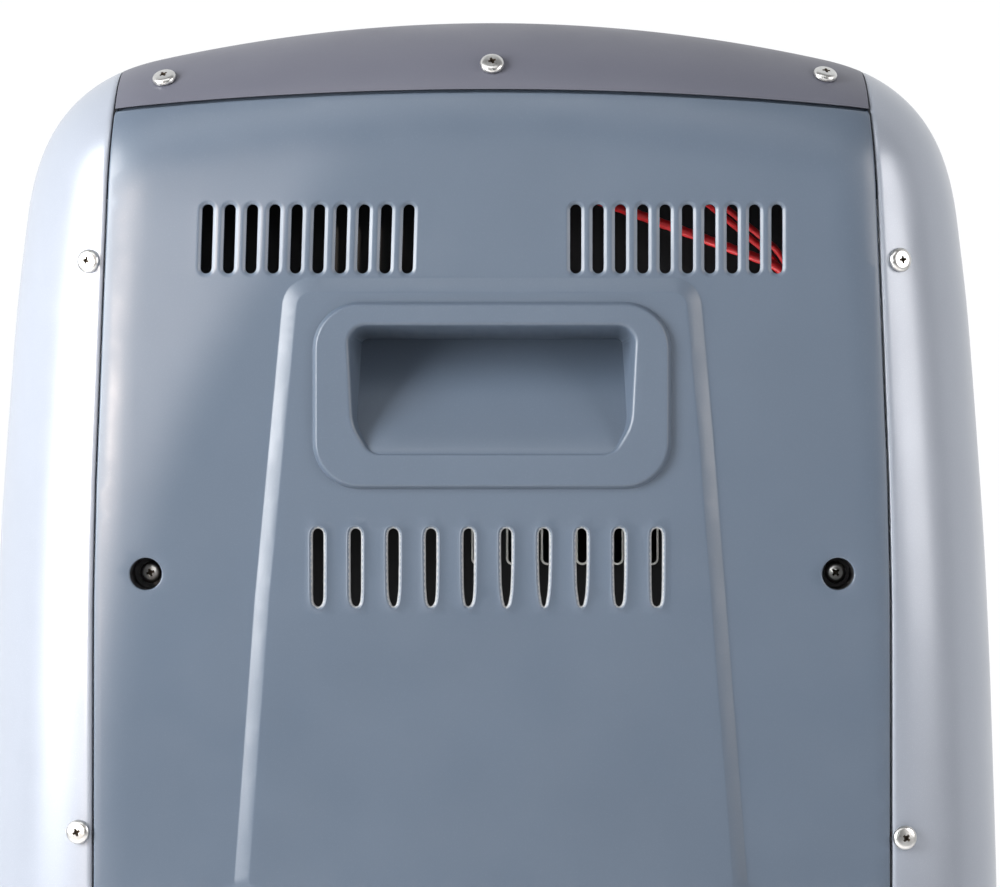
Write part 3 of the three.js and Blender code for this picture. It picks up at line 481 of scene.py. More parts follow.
def soft_corners(points, r, n=10):
    out = [Vector(points[0])]
    for i in range(1, len(points) - 1):
        a, b, c = Vector(points[i - 1]), Vector(points[i]), Vector(points[i + 1])
        u, v = (a - b).normalized(), (c - b).normalized()
        ang = u.angle(v)
        l = min(r / math.tan(ang / 2) if ang > 0.01 else r, (a - b).length * 0.499, (c - b).length * 0.499)
        rr = l * math.tan(ang / 2)
        if ang > math.pi - 0.02:
            out.append(b)
            continue
        o = b + (u + v).normalized() * (rr / math.sin(ang / 2))
        p0, p1 = b + u * l - o, b + v * l - o
        q = p0.rotation_difference(p1)
        ax, an = q.to_axis_angle()
        for k in range(n + 1):
            out.append(o + Quaternion(ax, an * k / n) @ p0)
    out.append(Vector(points[-1]))
    return out


def sweep(name, points, radius, mats, sides=16, bore=0.0, twist=0.0, lobes=0, lobe=0.0):
    """A round tube or wire along mm points. lobes and lobe shape a twisted or braided outline."""
    P = [Vector(p) for p in points]
    clean = [P[0]]
    for p in P[1:]:
        if (p - clean[-1]).length > 1e-3:
            clean.append(p)
    P = clean
    N = len(P)
    T = [(P[min(N - 1, i + 1)] - P[max(0, i - 1)]).normalized() for i in range(N)]
    u = Vector((0, 1, 0)) if abs(T[0].y) < 0.9 else Vector((1, 0, 0))
    verts, faces = [], []
    run = 0.0
    rings = []
    for i in range(N):
        u = (u - T[i] * u.dot(T[i])).normalized()
        v = T[i].cross(u)
        if i:
            run += (P[i] - P[i - 1]).length
        rings.append((P[i], u.copy(), v, run))

    def layer(r, shaped):
        s = len(verts)
        for p, a, b, l in rings:
            for j in range(sides):
                t = 2 * math.pi * j / sides
                rr = r
                if shaped and lobes:
                    rr = r * (1 + lobe * math.cos(lobes * t + twist * l))
                verts.append(tuple((p + (a * math.cos(t) + b * math.sin(t)) * rr) * MM))
        return s

    s0 = layer(radius, True)
    for i in range(N - 1):
        for j in range(sides):
            k = (j + 1) % sides
            faces.append((s0 + i * sides + j, s0 + i * sides + k, s0 + (i + 1) * sides + k, s0 + (i + 1) * sides + j))
    if bore > 0:
        s1 = layer(bore, False)
        for i in range(N - 1):
            for j in range(sides):
                k = (j + 1) % sides
                faces.append((s1 + i * sides + j, s1 + (i + 1) * sides + j, s1 + (i + 1) * sides + k, s1 + i * sides + k))
        e = (N - 1) * sides
        for j in range(sides):
            k = (j + 1) % sides
            faces.append((s0 + k, s0 + j, s1 + j, s1 + k))
            faces.append((s0 + e + j, s0 + e + k, s1 + e + k, s1 + e + j))
    else:
        e = (N - 1) * sides
        faces.append(tuple(s0 + j for j in reversed(range(sides))))
        faces.append(tuple(s0 + e + j for j in range(sides)))
    return link(name, verts, faces, mats, None, True, 50)


def join(name, obs):
    """Joins pieces of one part into one object."""
    bm = bmesh.new()
    mats = []
    for o in obs:
        me = o.data
        base = []
        for m in me.materials:
            if m not in mats:
                mats.append(m)
            base.append(mats.index(m))
        k = len(bm.faces)
        bm.from_mesh(me)
        bm.faces.ensure_lookup_table()
        for f in bm.faces[k:]:
            f.material_index = base[f.material_index] if base else 0
    me = bpy.data.meshes.new(name)
    bm.to_mesh(me)
    bm.free()
    for m in mats:
        me.materials.append(m)
    for o in obs:
        bpy.data.objects.remove(o, do_unlink=True)
    ob = bpy.data.objects.new(name, me)
    bpy.context.scene.collection.objects.link(ob)
    return ob


# ------------------------------------------------------------------ materials
def material(name, color, rough, metal=0.0, mottle=0.04, mottle_scale=18.0, grain=1500.0, bump=0.12, bump_mm=0.05, rough_var=0.05,
             coat=0.0, coat_rough=0.1, specular=0.5, flecks=0.0, sheen=0.0, brushed=None, stain=None):
    m = bpy.data.materials.new(name)
    m.use_nodes = True
    nt = m.node_tree
    N, L = nt.nodes, nt.links
    bsdf = N["Principled BSDF"]
    bsdf.inputs["Metallic"].default_value = metal
    bsdf.inputs["Specular IOR Level"].default_value = specular
    bsdf.inputs["Coat Weight"].default_value = coat
    bsdf.inputs["Coat Roughness"].default_value = coat_rough
    if sheen:
        bsdf.inputs["Sheen Weight"].default_value = sheen
    tc = N.new("ShaderNodeTexCoord")
    mp = N.new("ShaderNodeMapping")
    if brushed:
        mp.inputs["Scale"].default_value = brushed
    L.new(tc.outputs["Object"], mp.inputs["Vector"])

    def noise(scale, detail=4.0, src=None, rough_n=0.55):
        n = N.new("ShaderNodeTexNoise")
        n.inputs["Scale"].default_value = scale
        n.inputs["Detail"].default_value = detail
        n.inputs["Roughness"].default_value = rough_n
        L.new((src or tc.outputs["Object"]), n.inputs["Vector"])
        return n.outputs["Fac"]

    def rng(src, a, b, lo, hi):
        r = N.new("ShaderNodeMapRange")
        r.inputs["From Min"].default_value = a
        r.inputs["From Max"].default_value = b
        r.inputs["To Min"].default_value = lo
        r.inputs["To Max"].default_value = hi
        L.new(src, r.inputs["Value"])
        return r.outputs["Result"]

    big = noise(mottle_scale, 5.0)
    fine = noise(grain, 3.0, mp.outputs["Vector"])
    mix = N.new("ShaderNodeMix")
    mix.data_type = "RGBA"
    mix.inputs["A"].default_value = tuple(c * (1 - mottle) for c in color) + (1.0,)
    mix.inputs["B"].default_value = tuple(min(1.0, c * (1 + mottle)) for c in color) + (1.0,)
    L.new(rng(big, 0.3, 0.7, 0.0, 1.0), mix.inputs["Factor"])
    col = mix.outputs["Result"]
    if flecks:
        mx = N.new("ShaderNodeMix")
        mx.data_type = "RGBA"
        L.new(col, mx.inputs["A"])
        mx.inputs["B"].default_value = tuple(min(1.0, c * 1.9 + 0.05) for c in color) + (1.0,)
        L.new(rng(fine, 0.55, 0.8, 0.0, flecks), mx.inputs["Factor"])
        col = mx.outputs["Result"]
    if stain:
        sc, low, high, amount, tint = stain
        mx = N.new("ShaderNodeMix")
        mx.data_type = "RGBA"
        L.new(col, mx.inputs["A"])
        mx.inputs["B"].default_value = tint + (1.0,)
        L.new(rng(noise(sc, 8.0, None, 0.65), low, high, 0.0, amount), mx.inputs["Factor"])
        col = mx.outputs["Result"]
    L.new(col, bsdf.inputs["Base Color"])
    L.new(rng(noise(mottle_scale * 2.3, 4.0), 0.3, 0.7, max(0.02, rough - rough_var), min(1.0, rough + rough_var)), bsdf.inputs["Roughness"])
    if bump > 0:
        b = N.new("ShaderNodeBump")
        b.inputs["Strength"].default_value = bump
        b.inputs["Distance"].default_value = bump_mm * MM
        L.new(fine, b.inputs["Height"])
        L.new(b.outputs["Normal"], bsdf.inputs["Normal"])
    return m


M_PANEL = material("panel_plastic", (0.074, 0.097, 0.132), 0.385, mottle=0.03, mottle_scale=14, grain=1300, bump=0.16, bump_mm=0.05, specular=0.5, flecks=0.10)
M_CAP = material("cap_plastic", (0.086, 0.089, 0.113), 0.42, mottle=0.03, mottle_scale=14, grain=1300, bump=0.20, bump_mm=0.06, specular=0.45, flecks=0.08)
M_PEARL = material("pearl_paint", (0.242, 0.266, 0.312), 0.34, metal=0.15, mottle=0.025, mottle_scale=8, grain=2600, bump=0.06, bump_mm=0.02, coat=0.25,
                   coat_rough=0.18, flecks=0.18)
M_BLACK = material("black_enamel", (0.008, 0.008, 0.009), 0.55, specular=0.3, mottle=0.10, mottle_scale=30, grain=1800, bump=0.15, bump_mm=0.04)
M_EDGE = material("bare_cut_edge", (0.86, 0.85, 0.80), 0.50, metal=0.0, mottle=0.12, mottle_scale=160, grain=2500, bump=0.12, bump_mm=0.03)
# pale grey for the lips and walls of the lower slots: painted highlight
M_RIM_HIGHLIGHT = material("lower_slot_rim_painted_highlight", (0.23, 0.24, 0.25), 0.50, mottle=0.14, mottle_scale=240, grain=1800, bump=0.35, bump_mm=0.08)
M_SCALE = material("heat_scaled_sheet", (0.085, 0.078, 0.075), 0.62, metal=0.35, mottle=0.30, mottle_scale=40, grain=1100, bump=0.25, bump_mm=0.08,
                   stain=(26, 0.5, 0.75, 0.5, (0.16, 0.12, 0.09)))
M_ZINC = material("zinc_plate", (0.56, 0.57, 0.58), 0.34, metal=1.0, mottle=0.10, mottle_scale=45, grain=700, bump=0.05, bump_mm=0.03, stain=(60, 0.5, 0.75, 0.35, (0.40, 0.39, 0.36)))
M_SCREW = material("plated_screw", (0.60, 0.60, 0.59), 0.32, metal=1.0, mottle=0.08, mottle_scale=420, grain=2200, bump=0.09, bump_mm=0.02, stain=(700, 0.58, 0.80, 0.35, (0.40, 0.37, 0.31)))
# dark brown for the screws' cross recesses: painted shade in the recess
M_RECESS_SHADE = material("recess_painted_shade", (0.070, 0.052, 0.036), 0.62, metal=0.4, mottle=0.20, mottle_scale=500, grain=2400, bump=0.25, bump_mm=0.04)
M_REFLECT = material("polished_reflector", (0.84, 0.85, 0.86), 0.14, metal=1.0, mottle=0.04, mottle_scale=12, grain=420, bump=0.08, bump_mm=0.02, brushed=(1.0, 1.0, 0.03), rough_var=0.04)
M_TUBE = material("ceramic_tube", (0.055, 0.050, 0.046), 0.78, mottle=0.25, mottle_scale=35, grain=900, bump=0.35, bump_mm=0.12, stain=(22, 0.5, 0.8, 0.6, (0.115, 0.085, 0.065)))
M_HOT = material("heat_tinted_steel", (0.33, 0.30, 0.27), 0.36, metal=1.0, mottle=0.15, mottle_scale=25, grain=900, bump=0.06, stain=(14, 0.45, 0.7, 0.6, (0.20, 0.13, 0.16)))
M_TANK = material("tank_enamel", (0.030, 0.034, 0.042), 0.40, mottle=0.12, mottle_scale=22, grain=1300, bump=0.12)
M_DARK = material("dark_moulding", (0.020, 0.020, 0.022), 0.50, mottle=0.10, mottle_scale=35, grain=1500, bump=0.22, bump_mm=0.05)
M_FASCIA = material("fascia_moulding", (0.032, 0.033, 0.037), 0.38, mottle=0.08, mottle_scale=25, grain=1600, bump=0.12, bump_mm=0.04)
M_WINDOW = material("smoked_window", (0.006, 0.007, 0.009), 0.06, mottle=0.10, mottle_scale=20, grain=300, bump=0.01, rough_var=0.02, coat=0.6, coat_rough=0.03)
M_BOARD = material("laminate_board", (0.018, 0.095, 0.045), 0.45, mottle=0.12, mottle_scale=60, grain=900, bump=0.15)
M_BRASS = material("turned_brass", (0.62, 0.45, 0.20), 0.28, metal=1.0, mottle=0.10, mottle_scale=60, grain=900, bump=0.05)
M_WIRE = material("red_sleeve", (0.62, 0.010, 0.014), 0.42, mottle=0.20, mottle_scale=160, grain=1100, bump=0.35, bump_mm=0.12, specular=0.5)
M_RUBBER = material("tyre_rubber", (0.022, 0.022, 0.023), 0.72, mottle=0.15, mottle_scale=50, grain=1100, bump=0.30, bump_mm=0.08, stain=(40, 0.55, 0.8, 0.35, (0.06, 0.058, 0.055)))
M_HUB = material("hub_nylon", (0.30, 0.31, 0.32), 0.45, mottle=0.06, mottle_scale=40, grain=1400, bump=0.15)
M_POINTER = material("pointer_paint", (0.50, 0.03, 0.02), 0.40, mottle=0.10, mottle_scale=120, grain=1500, bump=0.10)
M_FLOOR = material("studio_floor", (0.86, 0.86, 0.86), 0.65, mottle=0.01, mottle_scale=2, grain=200, bump=0.02, specular=0.2)

BY_SLOT = {"panel": M_PANEL, "cap": M_CAP, "pearl": M_PEARL, "black_sheet": M_BLACK, "zinc": M_ZINC, "screw": M_SCREW, "reflector": M_REFLECT,
           "ceramic_tube": M_TUBE, "hot_steel": M_HOT, "tank": M_TANK, "dark_plastic": M_DARK, "window": M_WINDOW, "board": M_BOARD,
           "brass": M_BRASS, "red_wire": M_WIRE, "rubber": M_RUBBER, "pointer": M_POINTER}
for sub in frame["record"]["subparts"]:
    ob = nodes[sub["node"]]
    ob.data.materials.clear()
    ob.data.materials.append(BY_SLOT[sub["material_slot"]])
    add_bevel(ob, 0.45, 2, 32)


def piece(ob, body, slot, *replaced):
    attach(ob, body)
    if replaced:
        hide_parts(*replaced)
    return ob


# ------------------------------------------------------------------ back panel
VENT_X = [37.5 + 10 * i for i in range(10)]
VENT_Z = (930.8, 961.9)
VENT_W = 5.1
ROW_X = [-73.6 + 16.8 * i for i in range(10)]
ROW_Z = (780.8, 817.2)
ROW_W = 5.4
WELL = (154.8, 796.5, 7.15, 20.0)
RISE, BAND = 3.0, 6.7

# the lower slots are cut rough: straight sides that draw in towards the foot (half widths at the shoulder, knee and foot)
CUT = [(2.45, 2.42, 2.3, 0.3), (2.4, 2.35, 2.1, -0.2), (2.45, 2.2, 1.7, -0.9), (2.4, 2.2, 1.75, 0.2), (2.35, 2.15, 1.7, 0.5),
       (2.35, 1.85, 1.15, 0.3), (2.3, 1.7, 1.05, -0.2), (2.35, 1.85, 1.2, 0.5), (2.35, 2.1, 1.7, 0.0), (2.4, 2.3, 2.05, 0.0)]


def rough_slot(cx, shape, seed):
    """Rounded head, sides tapering in two steps, a ragged foot."""
    a, b, c, skew = shape
    rng_ = np.random.default_rng(seed)
    p = []
    for i in range(9):
        t = math.pi * i / 8
        p.append((cx + a * math.cos(t), 817.0 - a + a * math.sin(t)))
    p += [(cx - a, 804.0), (cx - (a + b) / 2, 793.5), (cx - b, 789.0), (cx - c, 784.4), (cx - c * 0.6, 782.3 + max(0.0, skew)),
          (cx, 781.6), (cx + c * 0.6, 782.3 - min(0.0, skew)), (cx + c, 784.4), (cx + b, 789.0), (cx + (a + b) / 2, 793.5), (cx + a, 804.0)]
    q = np.array(densify(p, 1.6))
    q = 0.25 * np.roll(q, 1, 0) + 0.5 * q + 0.25 * np.roll(q, -1, 0)
    return q + rng_.normal(0, 0.05, q.shape) * np.clip((800 - q[:, 1:2]) / 20, 0.25, 1.0)


def lean(x, z):
    """The left group of vents leans a little outwards at the foot."""
    return x + (946.0 - z) * 0.030


FIELD = round_poly([(-92.6, 928.8), (92.6, 928.8), (98.9, 861.0), (106.0, 785.0), (114.6, 666.0), (122.0, 560.0), (-121.0, 560.0), (-113.6, 666.0), (-98.6, 861.0)],
                   [13, 13, 0, 0, 0, 0, 0, 0, 0], 10, 6.0)
BEZEL = rrect(-80, 80, 834.5, 918, 21, 12, 5.0)
MOUTH = round_poly([(-54.5, 848.6), (54.5, 848.6), (62.9, 863.0), (65.2, 908.4), (-65.2, 908.4), (-62.9, 863.0)], [9, 9, 22, 8.5, 8.5, 22], 10, 3.5)
LIP_R, LIP_AT, WALL_M = 2.2, -0.9, 8.9
POCKET_SLOPE = 0.73


def smooth_min(a, b, k):
    h = np.maximum(0.0, 1.0 - np.abs(a - b) / k)
    return np.minimum(a, b) - h * h * k * 0.25


def floor_depth(z):
    u = z - 851.0
    return 0.5 * (u + np.sqrt(u * u + 9.0)) * POCKET_SLOPE


def wall_depth(d):
    th = math.atan(WALL_M)
    u = np.maximum(0.0, d - LIP_AT)
    s = LIP_R * math.sin(th)
    arc = LIP_R - np.sqrt(np.maximum(0.0, LIP_R ** 2 - np.minimum(u, s) ** 2))
    return np.where(u < s, arc, LIP_R * (1 - math.cos(th)) + WALL_M * (u - s))


def well_relief(x, z):
    h = 0.0
    for s in (1, -1):
        r = np.hypot(x - s * WELL[0], z - WELL[1])
        h = h - roll_off(r - WELL[2], 0.7) * (r >= WELL[2] - 0.001)
        h = h - np.where(r < WELL[2], 0.7 + (WELL[3] - 0.7) * np.clip((WELL[2] - r) / 0.16, 0, 1), 0.0)
    return h


def upper_relief(x, z):
    d = sd_poly(x, z, FIELD)
    h = RISE * crowned(-d / BAND)
    d = sd_poly(x, z, BEZEL)
    u = np.clip(-d / 2.1, 0, 1)
    h = h + 3.0 * u * (2 - u)
    d = -sd_poly(x, z, MOUTH)
    depth = np.maximum(0.0, smooth_min(wall_depth(d), floor_depth(z) + np.where(d > LIP_AT, 0.0, 0.0), 3.0))
    h = h - np.where(d > LIP_AT, depth, 0.0)
    h = h + well_relief(x, z)
    for cx in VENT_X:
        for s in (1, -1):
            xx = x - (946.0 - z) * 0.030 if s > 0 else x
            d = sd_stadium(xx, z, s * cx, VENT_Z[0], VENT_Z[1], VENT_W)
            c = 1.35 - d
            h = h + 0.08 * np.exp(-((d - 2.1) / 0.6) ** 2) - 0.31 * (c + np.sqrt(c * c + 0.05)) * (d < 4)
    near = (z > 776) & (z < 822) & (np.abs(x) < 84)
    k = np.nonzero(near)[0]
    if len(k):
        d = np.full(len(k), 1e9)
        for hole in ROUGH:
            d = np.minimum(d, sd_poly(x[k], z[k], hole))
        h[k] += 0.35 * np.exp(-((d - 1.45) / 0.5) ** 2) - 0.9 * roll_off(d, 1.0)
    return h


ROUGH = [rough_slot(cx, CUT[9 - i], 40 + i) for i, cx in enumerate(ROW_X)]


def panel_outline(z0, z1, top_gap=None, gap=0.4, step=8.0):
    """Between the side seams, from z0 up to z1 or to the cap seam."""
    if top_gap is None:
        right = [(float(seam_x(z)) - gap, z) for z in np.arange(z1, z0, -step)] + [(float(seam_x(z0)) - gap, z0)]
        left = [(-x, z) for x, z in reversed(right)]
        pts = right + left
    else:
        xe = float(seam_x(cap_seam(170.0))) - gap
        zt = float(cap_seam(xe)) - top_gap
        right = [(float(seam_x(z)) - gap, z) for z in np.arange(zt - step, z0, -step)] + [(float(seam_x(z0)) - gap, z0)]
        left = [(-x, z) for x, z in reversed(right)]
        xs = np.linspace(-xe, xe, 46)
        top = [(float(x), float(cap_seam(x)) - top_gap) for x in xs]
        pts = top + right + left
    return np.array(densify(pts, step))


outline = panel_outline(PANEL_JOINT + 0.4, 0, top_gap=-5.0)
TONGUE_GAP, TONGUE_DROP = 1.2, 5.0


def with_edge(outline, relief, r=0.8, tongue=False):
    def height(x, z):
        d = -sd_poly(x, z, outline)
        h = skin_y(x, z) + relief(x, z) - roll_off(np.maximum(d, 0.0), r)
        if tongue:                                 # the top edge steps down and carries on under the cap
            u = (cap_seam(x) - TONGUE_GAP) - z
            h = h - roll_off(np.clip(u, 0, 5), 0.8) * (u > 0) - TONGUE_DROP * np.clip(-u / 0.12, 0, 1) * (u <= 0)
        return h
    return height


holes, loops, lines = [], [], []
for cx in VENT_X:
    for s in (1, -1):
        h = stadium(s * cx, VENT_Z[0], VENT_Z[1], VENT_W)
        if s > 0:
            h[:, 0] = lean(h[:, 0], h[:, 1])
        holes.append(h)
        loops += [offset_loop(h, d) for d in (0.15, 0.55, 0.95, 1.2, 1.5, 1.9, 2.5)]
for h in ROUGH:
    holes.append(h)
    loops += [offset_loop(h, d) for d in (0.15, 0.45, 0.85, 1.15, 1.5, 1.9)]
for s in (1, -1):
    holes.append(circle(s * WELL[0], WELL[1], 2.7, 20))
    for r in (WELL[2] + 0.7, WELL[2] + 0.35, WELL[2] + 0.1, WELL[2], WELL[2] - 0.16, WELL[2] - 0.4, 5.0):
        loops.append(circle(s * WELL[0], WELL[1], r, 48))
for d in (-0.9, -0.2, 0.0, 0.5, BAND - 0.5, BAND, BAND + 0.7):
    lp = offset_loop(FIELD, -d)
    lp = [p for p in lp if p[1] > PANEL_JOINT + 1.6]
    # the loop is cut at the joint: keep it as one open line, from lower right round to lower left
    order = sorted(range(len(lp)), key=lambda i: math.atan2(lp[i][0], lp[i][1] - 700.0))
    seq = [lp[i] for i in order]
    lines.append(np.array(seq))
for d in (TONGUE_GAP - 0.12, TONGUE_GAP, TONGUE_GAP + 0.2, TONGUE_GAP + 0.45, TONGUE_GAP + 0.8):
    xe = float(seam_x(1006.0)) - 0.4 - 0.9
    lines.append(np.array([(x, float(cap_seam(x)) - d) for x in np.linspace(-xe, xe, 60)]))
for d in (-0.5, -0.05, 0.15, 0.45, 0.85, 1.3, 1.75, 2.1, 2.6):
    loops.append(offset_loop(BEZEL, -d))
for d in (-1.6, -0.9, -0.5, 0.0, 0.5, 0.95, 1.3):
    loops.append(offset_loop(MOUTH, -d))
crease = LIP_R * 0.99 + LIP_AT + np.maximum(0.0, floor_depth(MOUTH[:, 1]) - 1.9) / WALL_M
for extra in (0.0, 0.3, 0.7, 1.6, 3.2):
    if extra == 0.0:
        pass
    loops.append(offset_loop(MOUTH, -(np.maximum(crease + extra, 1.5 + extra))))

# faces within 0.62 mm of the lower slots, and their walls, take the pale rim material: painted highlight on the slot
# lips
back = patch("back_panel_moulding", outline, holes, loops, lines, 5.0, with_edge(outline, upper_relief, tongue=True), 2.8, [M_PANEL, M_RIM_HIGHLIGHT],
             rim=(0.62, 1, ROUGH), dense=[(-64, 64, 850, 906, 2.5)])
back.data.materials.append(M_DARK)                 # the screw wells take the dark moulding below the rim: painted shade inside the deep wells
for face in back.data.polygons:
    if math.hypot(abs(face.center[0] / MM) - WELL[0], face.center[2] / MM - WELL[1]) < WELL[2] - 0.02:
        face.material_index = 2
piece(back, "cabinet", "panel", "back_panel")

# ------------------------------------------------------------------ lower back panel
NECK_X, NECK_HOLE_Z = -120.0, 344.0


def fill_relief(x, z):
    d = sd_poly(x, z, FIELD)
    h = RISE * crowned(-d / BAND)
    r = np.hypot((x - NECK_X), (z - NECK_HOLE_Z) / 1.75)
    h = h - roll_off(r - 37.0, 2.5)
    for cx in ROW_X:
        d = sd_stadium(x, z, cx, 400, 436, ROW_W)
        h = h + 0.35 * np.exp(-((d - 1.45) / 0.55) ** 2) - roll_off(d, 1.1)
    h = h - roll_off(sd_poly(x, z, GAUGE_HOLE), 1.5) * (sd_poly(x, z, GAUGE_HOLE) > -0.01)
    return h


GAUGE_HOLE = rrect(-66, -14, 312, 334, 6, 8, 4)
low_outline = panel_outline(82.0, PANEL_JOINT - 0.6)
holes, loops = [], []
for cx in ROW_X:
    h = stadium(cx, 400, 436, ROW_W)
    holes.append(h)
    loops += [offset_loop(h, d) for d in (0.3, 0.8, 1.1, 1.45, 2.0)]
t = np.linspace(0, 2 * math.pi, 72, endpoint=False)
neck = np.stack([NECK_X + 37 * np.cos(t), NECK_HOLE_Z + 37 * 1.75 * np.sin(t)], 1)
holes.append(neck)
loops += [offset_loop(neck, d) for d in (0.4, 1.2, 2.5)]
holes.append(GAUGE_HOLE)
loops += [offset_loop(GAUGE_HOLE, d) for d in (0.3, 0.9, 1.5)]
gl = circle(130, 150, 10.8, 40)
holes.append(gl)
lines = []
for d in (-0.9, 0.0, 0.5, BAND - 0.5, BAND, BAND + 0.7):
    lp = [p for p in offset_loop(FIELD, -d) if p[1] < PANEL_JOINT - 2.0]
    order = sorted(range(len(lp)), key=lambda i: math.atan2(lp[i][0], -(lp[i][1] - 680.0)))
    lines.append(np.array([lp[i] for i in order]))
lower = patch("lower_back_moulding", low_outline, holes, loops, lines, 9.0, with_edge(low_outline, fill_relief), 2.8, [M_PANEL])
piece(lower, "cabinet", "panel", "lower_back_panel")

# ------------------------------------------------------------------ top cap
def cap_grid(t, gap=0.4, seam_gap=0.4, cols=96):
    R, D = R_EDGE - t, HALF_D - t
    xe = 170.6 - gap
    xs = np.concatenate([np.linspace(-xe, -140, 14), np.linspace(-140, 140, cols - 26)[1:-1], np.linspace(140, xe, 14)])
    rows = []
    for x in xs:
        T = float(crown(x)) - t
        zs = float(cap_seam(x)) + seam_gap
        W = float(half_width(1010.0)) - t
        a = max(0.0, R - (W - abs(x)))
        b0 = max(0.0, R - (T - zs))
        q0 = (a ** SQUARE + b0 ** SQUARE) ** (1 / SQUARE)
        f0 = math.asin(min(1.0, q0 / R))
        col = []
        for k in range(21):
            f = f0 + (math.pi / 2 - f0) * (k / 20)
            q = R * math.sin(f)
            b = max(0.0, q ** SQUARE - a ** SQUARE) ** (1 / SQUARE)
            col.append((x, D - R + R * math.cos(f), T - R + b))
        flat = [(x, y, col[-1][2]) for y in np.linspace(D - R, -(D - R), 18)[1:-1]]
        front = [(x, -y, z) for (x, y, z) in reversed(col)]
        rows.append(col + flat + front)
    return np.array(rows)


cap = grid_shell("cap_moulding", cap_grid(0.0), cap_grid(3.0), [M_CAP], bevel=0)
seat = lathe("seat_cut", [(0, 1046.5), (62.4, 1046.5), (62.4, 1070), (0, 1070)], [M_CAP], n=96)
throat = lathe("throat_cut", [(0, 1020), (52, 1020), (52, 1060), (0, 1060)], [M_CAP], n=96)
collar = lathe("collar", [(51, 1042.2), (66, 1042.2), (66, 1046.4), (51, 1046.4), (51, 1042.2)], [M_CAP], n=96)
cap = cut(cap, [seat, throat])
cap = join("cap_moulding_with_seat", [cap, collar])
for p in cap.data.polygons:
    p.use_smooth = True
cap.data.set_sharp_from_angle(angle=math.radians(35))
add_bevel(cap, 0.8, 3, 40)
piece(cap, "cabinet", "cap", "top_cap")


# ------------------------------------------------------------------ side panels
SEAM_R, SEAM_AT = 3.0, (0.25, 0.55, 0.9, 1.35, 1.9, 2.6)


def side_grid(sign, t, gap=0.4):
    R, D = R_EDGE - t, HALF_D - t
    xs_top = 170.6 + gap
    a_top = max(0.0, R - (213.5 - t - xs_top))
    z_top = float(crown(xs_top)) - t - R + (R ** SQUARE - a_top ** SQUARE) ** (1 / SQUARE) - 0.05
    lo = np.linspace(82.0, 860.0, 40)
    s = np.linspace(0, 1, 44)[1:]
    hi = 860.0 + (z_top - 860.0) * (1 - (1 - s) ** 2.0)
    grid = []
    for z in np.concatenate([lo, hi]):
        W = float(half_width(z)) - t
        seam = float(seam_x(z)) + gap
        a_s = max(0.0, R - (W - seam))
        b = max(0.0, R - (float(crown(seam)) - t - z))
        q = (a_s ** SQUARE + b ** SQUARE) ** (1 / SQUARE)
        th0 = math.asin(min(1.0, q / R))
        row = []
        for k in range(23):
            th = th0 + (math.pi / 2 - th0) * k / 22
            q = R * math.sin(th)
            a = a_s if k == 0 else a_s
            x = seam
            for _ in range(14):
                bb = max(0.0, R - (float(crown(x)) - t - z))
                a = max(a_s if k == 0 else 0.0, max(0.0, q ** SQUARE - bb ** SQUARE) ** (1 / SQUARE))
                x = 0.5 * x + 0.5 * max(seam, W - R + a)
            row.append((x, D - R + R * math.cos(th), z))
        row[0] = (seam, row[0][1], z)
        rx, ry = [p[0] for p in row], [p[1] for p in row]
        near = [min(seam + d, seam + 0.5 * (rx[-1] - seam)) for d in SEAM_AT]
        row = [row[0]] + [(x, float(np.interp(x, rx, ry)), z) for x in near] + row[1:]
        row.sort(key=lambda p: (p[0], -p[1]))
        if t == 0.0:                               # the seam edge turns in over a soft radius
            row = [(x, y - float(roll_off(np.float64(x - seam + 0.5), SEAM_R)), zz) for x, y, zz in row]
        flat = [(row[-1][0], y, z) for y in np.linspace(D - R, -(D - R), 10)[1:-1]]
        front = [(x, -y, zz) for (x, y, zz) in reversed(row)]
        grid.append([(sign * x, y, zz) for (x, y, zz) in row + flat + front])
    return np.array(grid)


for sgn, nm, node in ((1, "side_shell_left", "left_side_panel"), (-1, "side_shell_right", "right_side_panel")):
    ob = grid_shell(nm, side_grid(sgn, 0.0), side_grid(sgn, 2.4), [M_PEARL], bevel=0.75)
    piece(ob, "cabinet", "pearl", node)


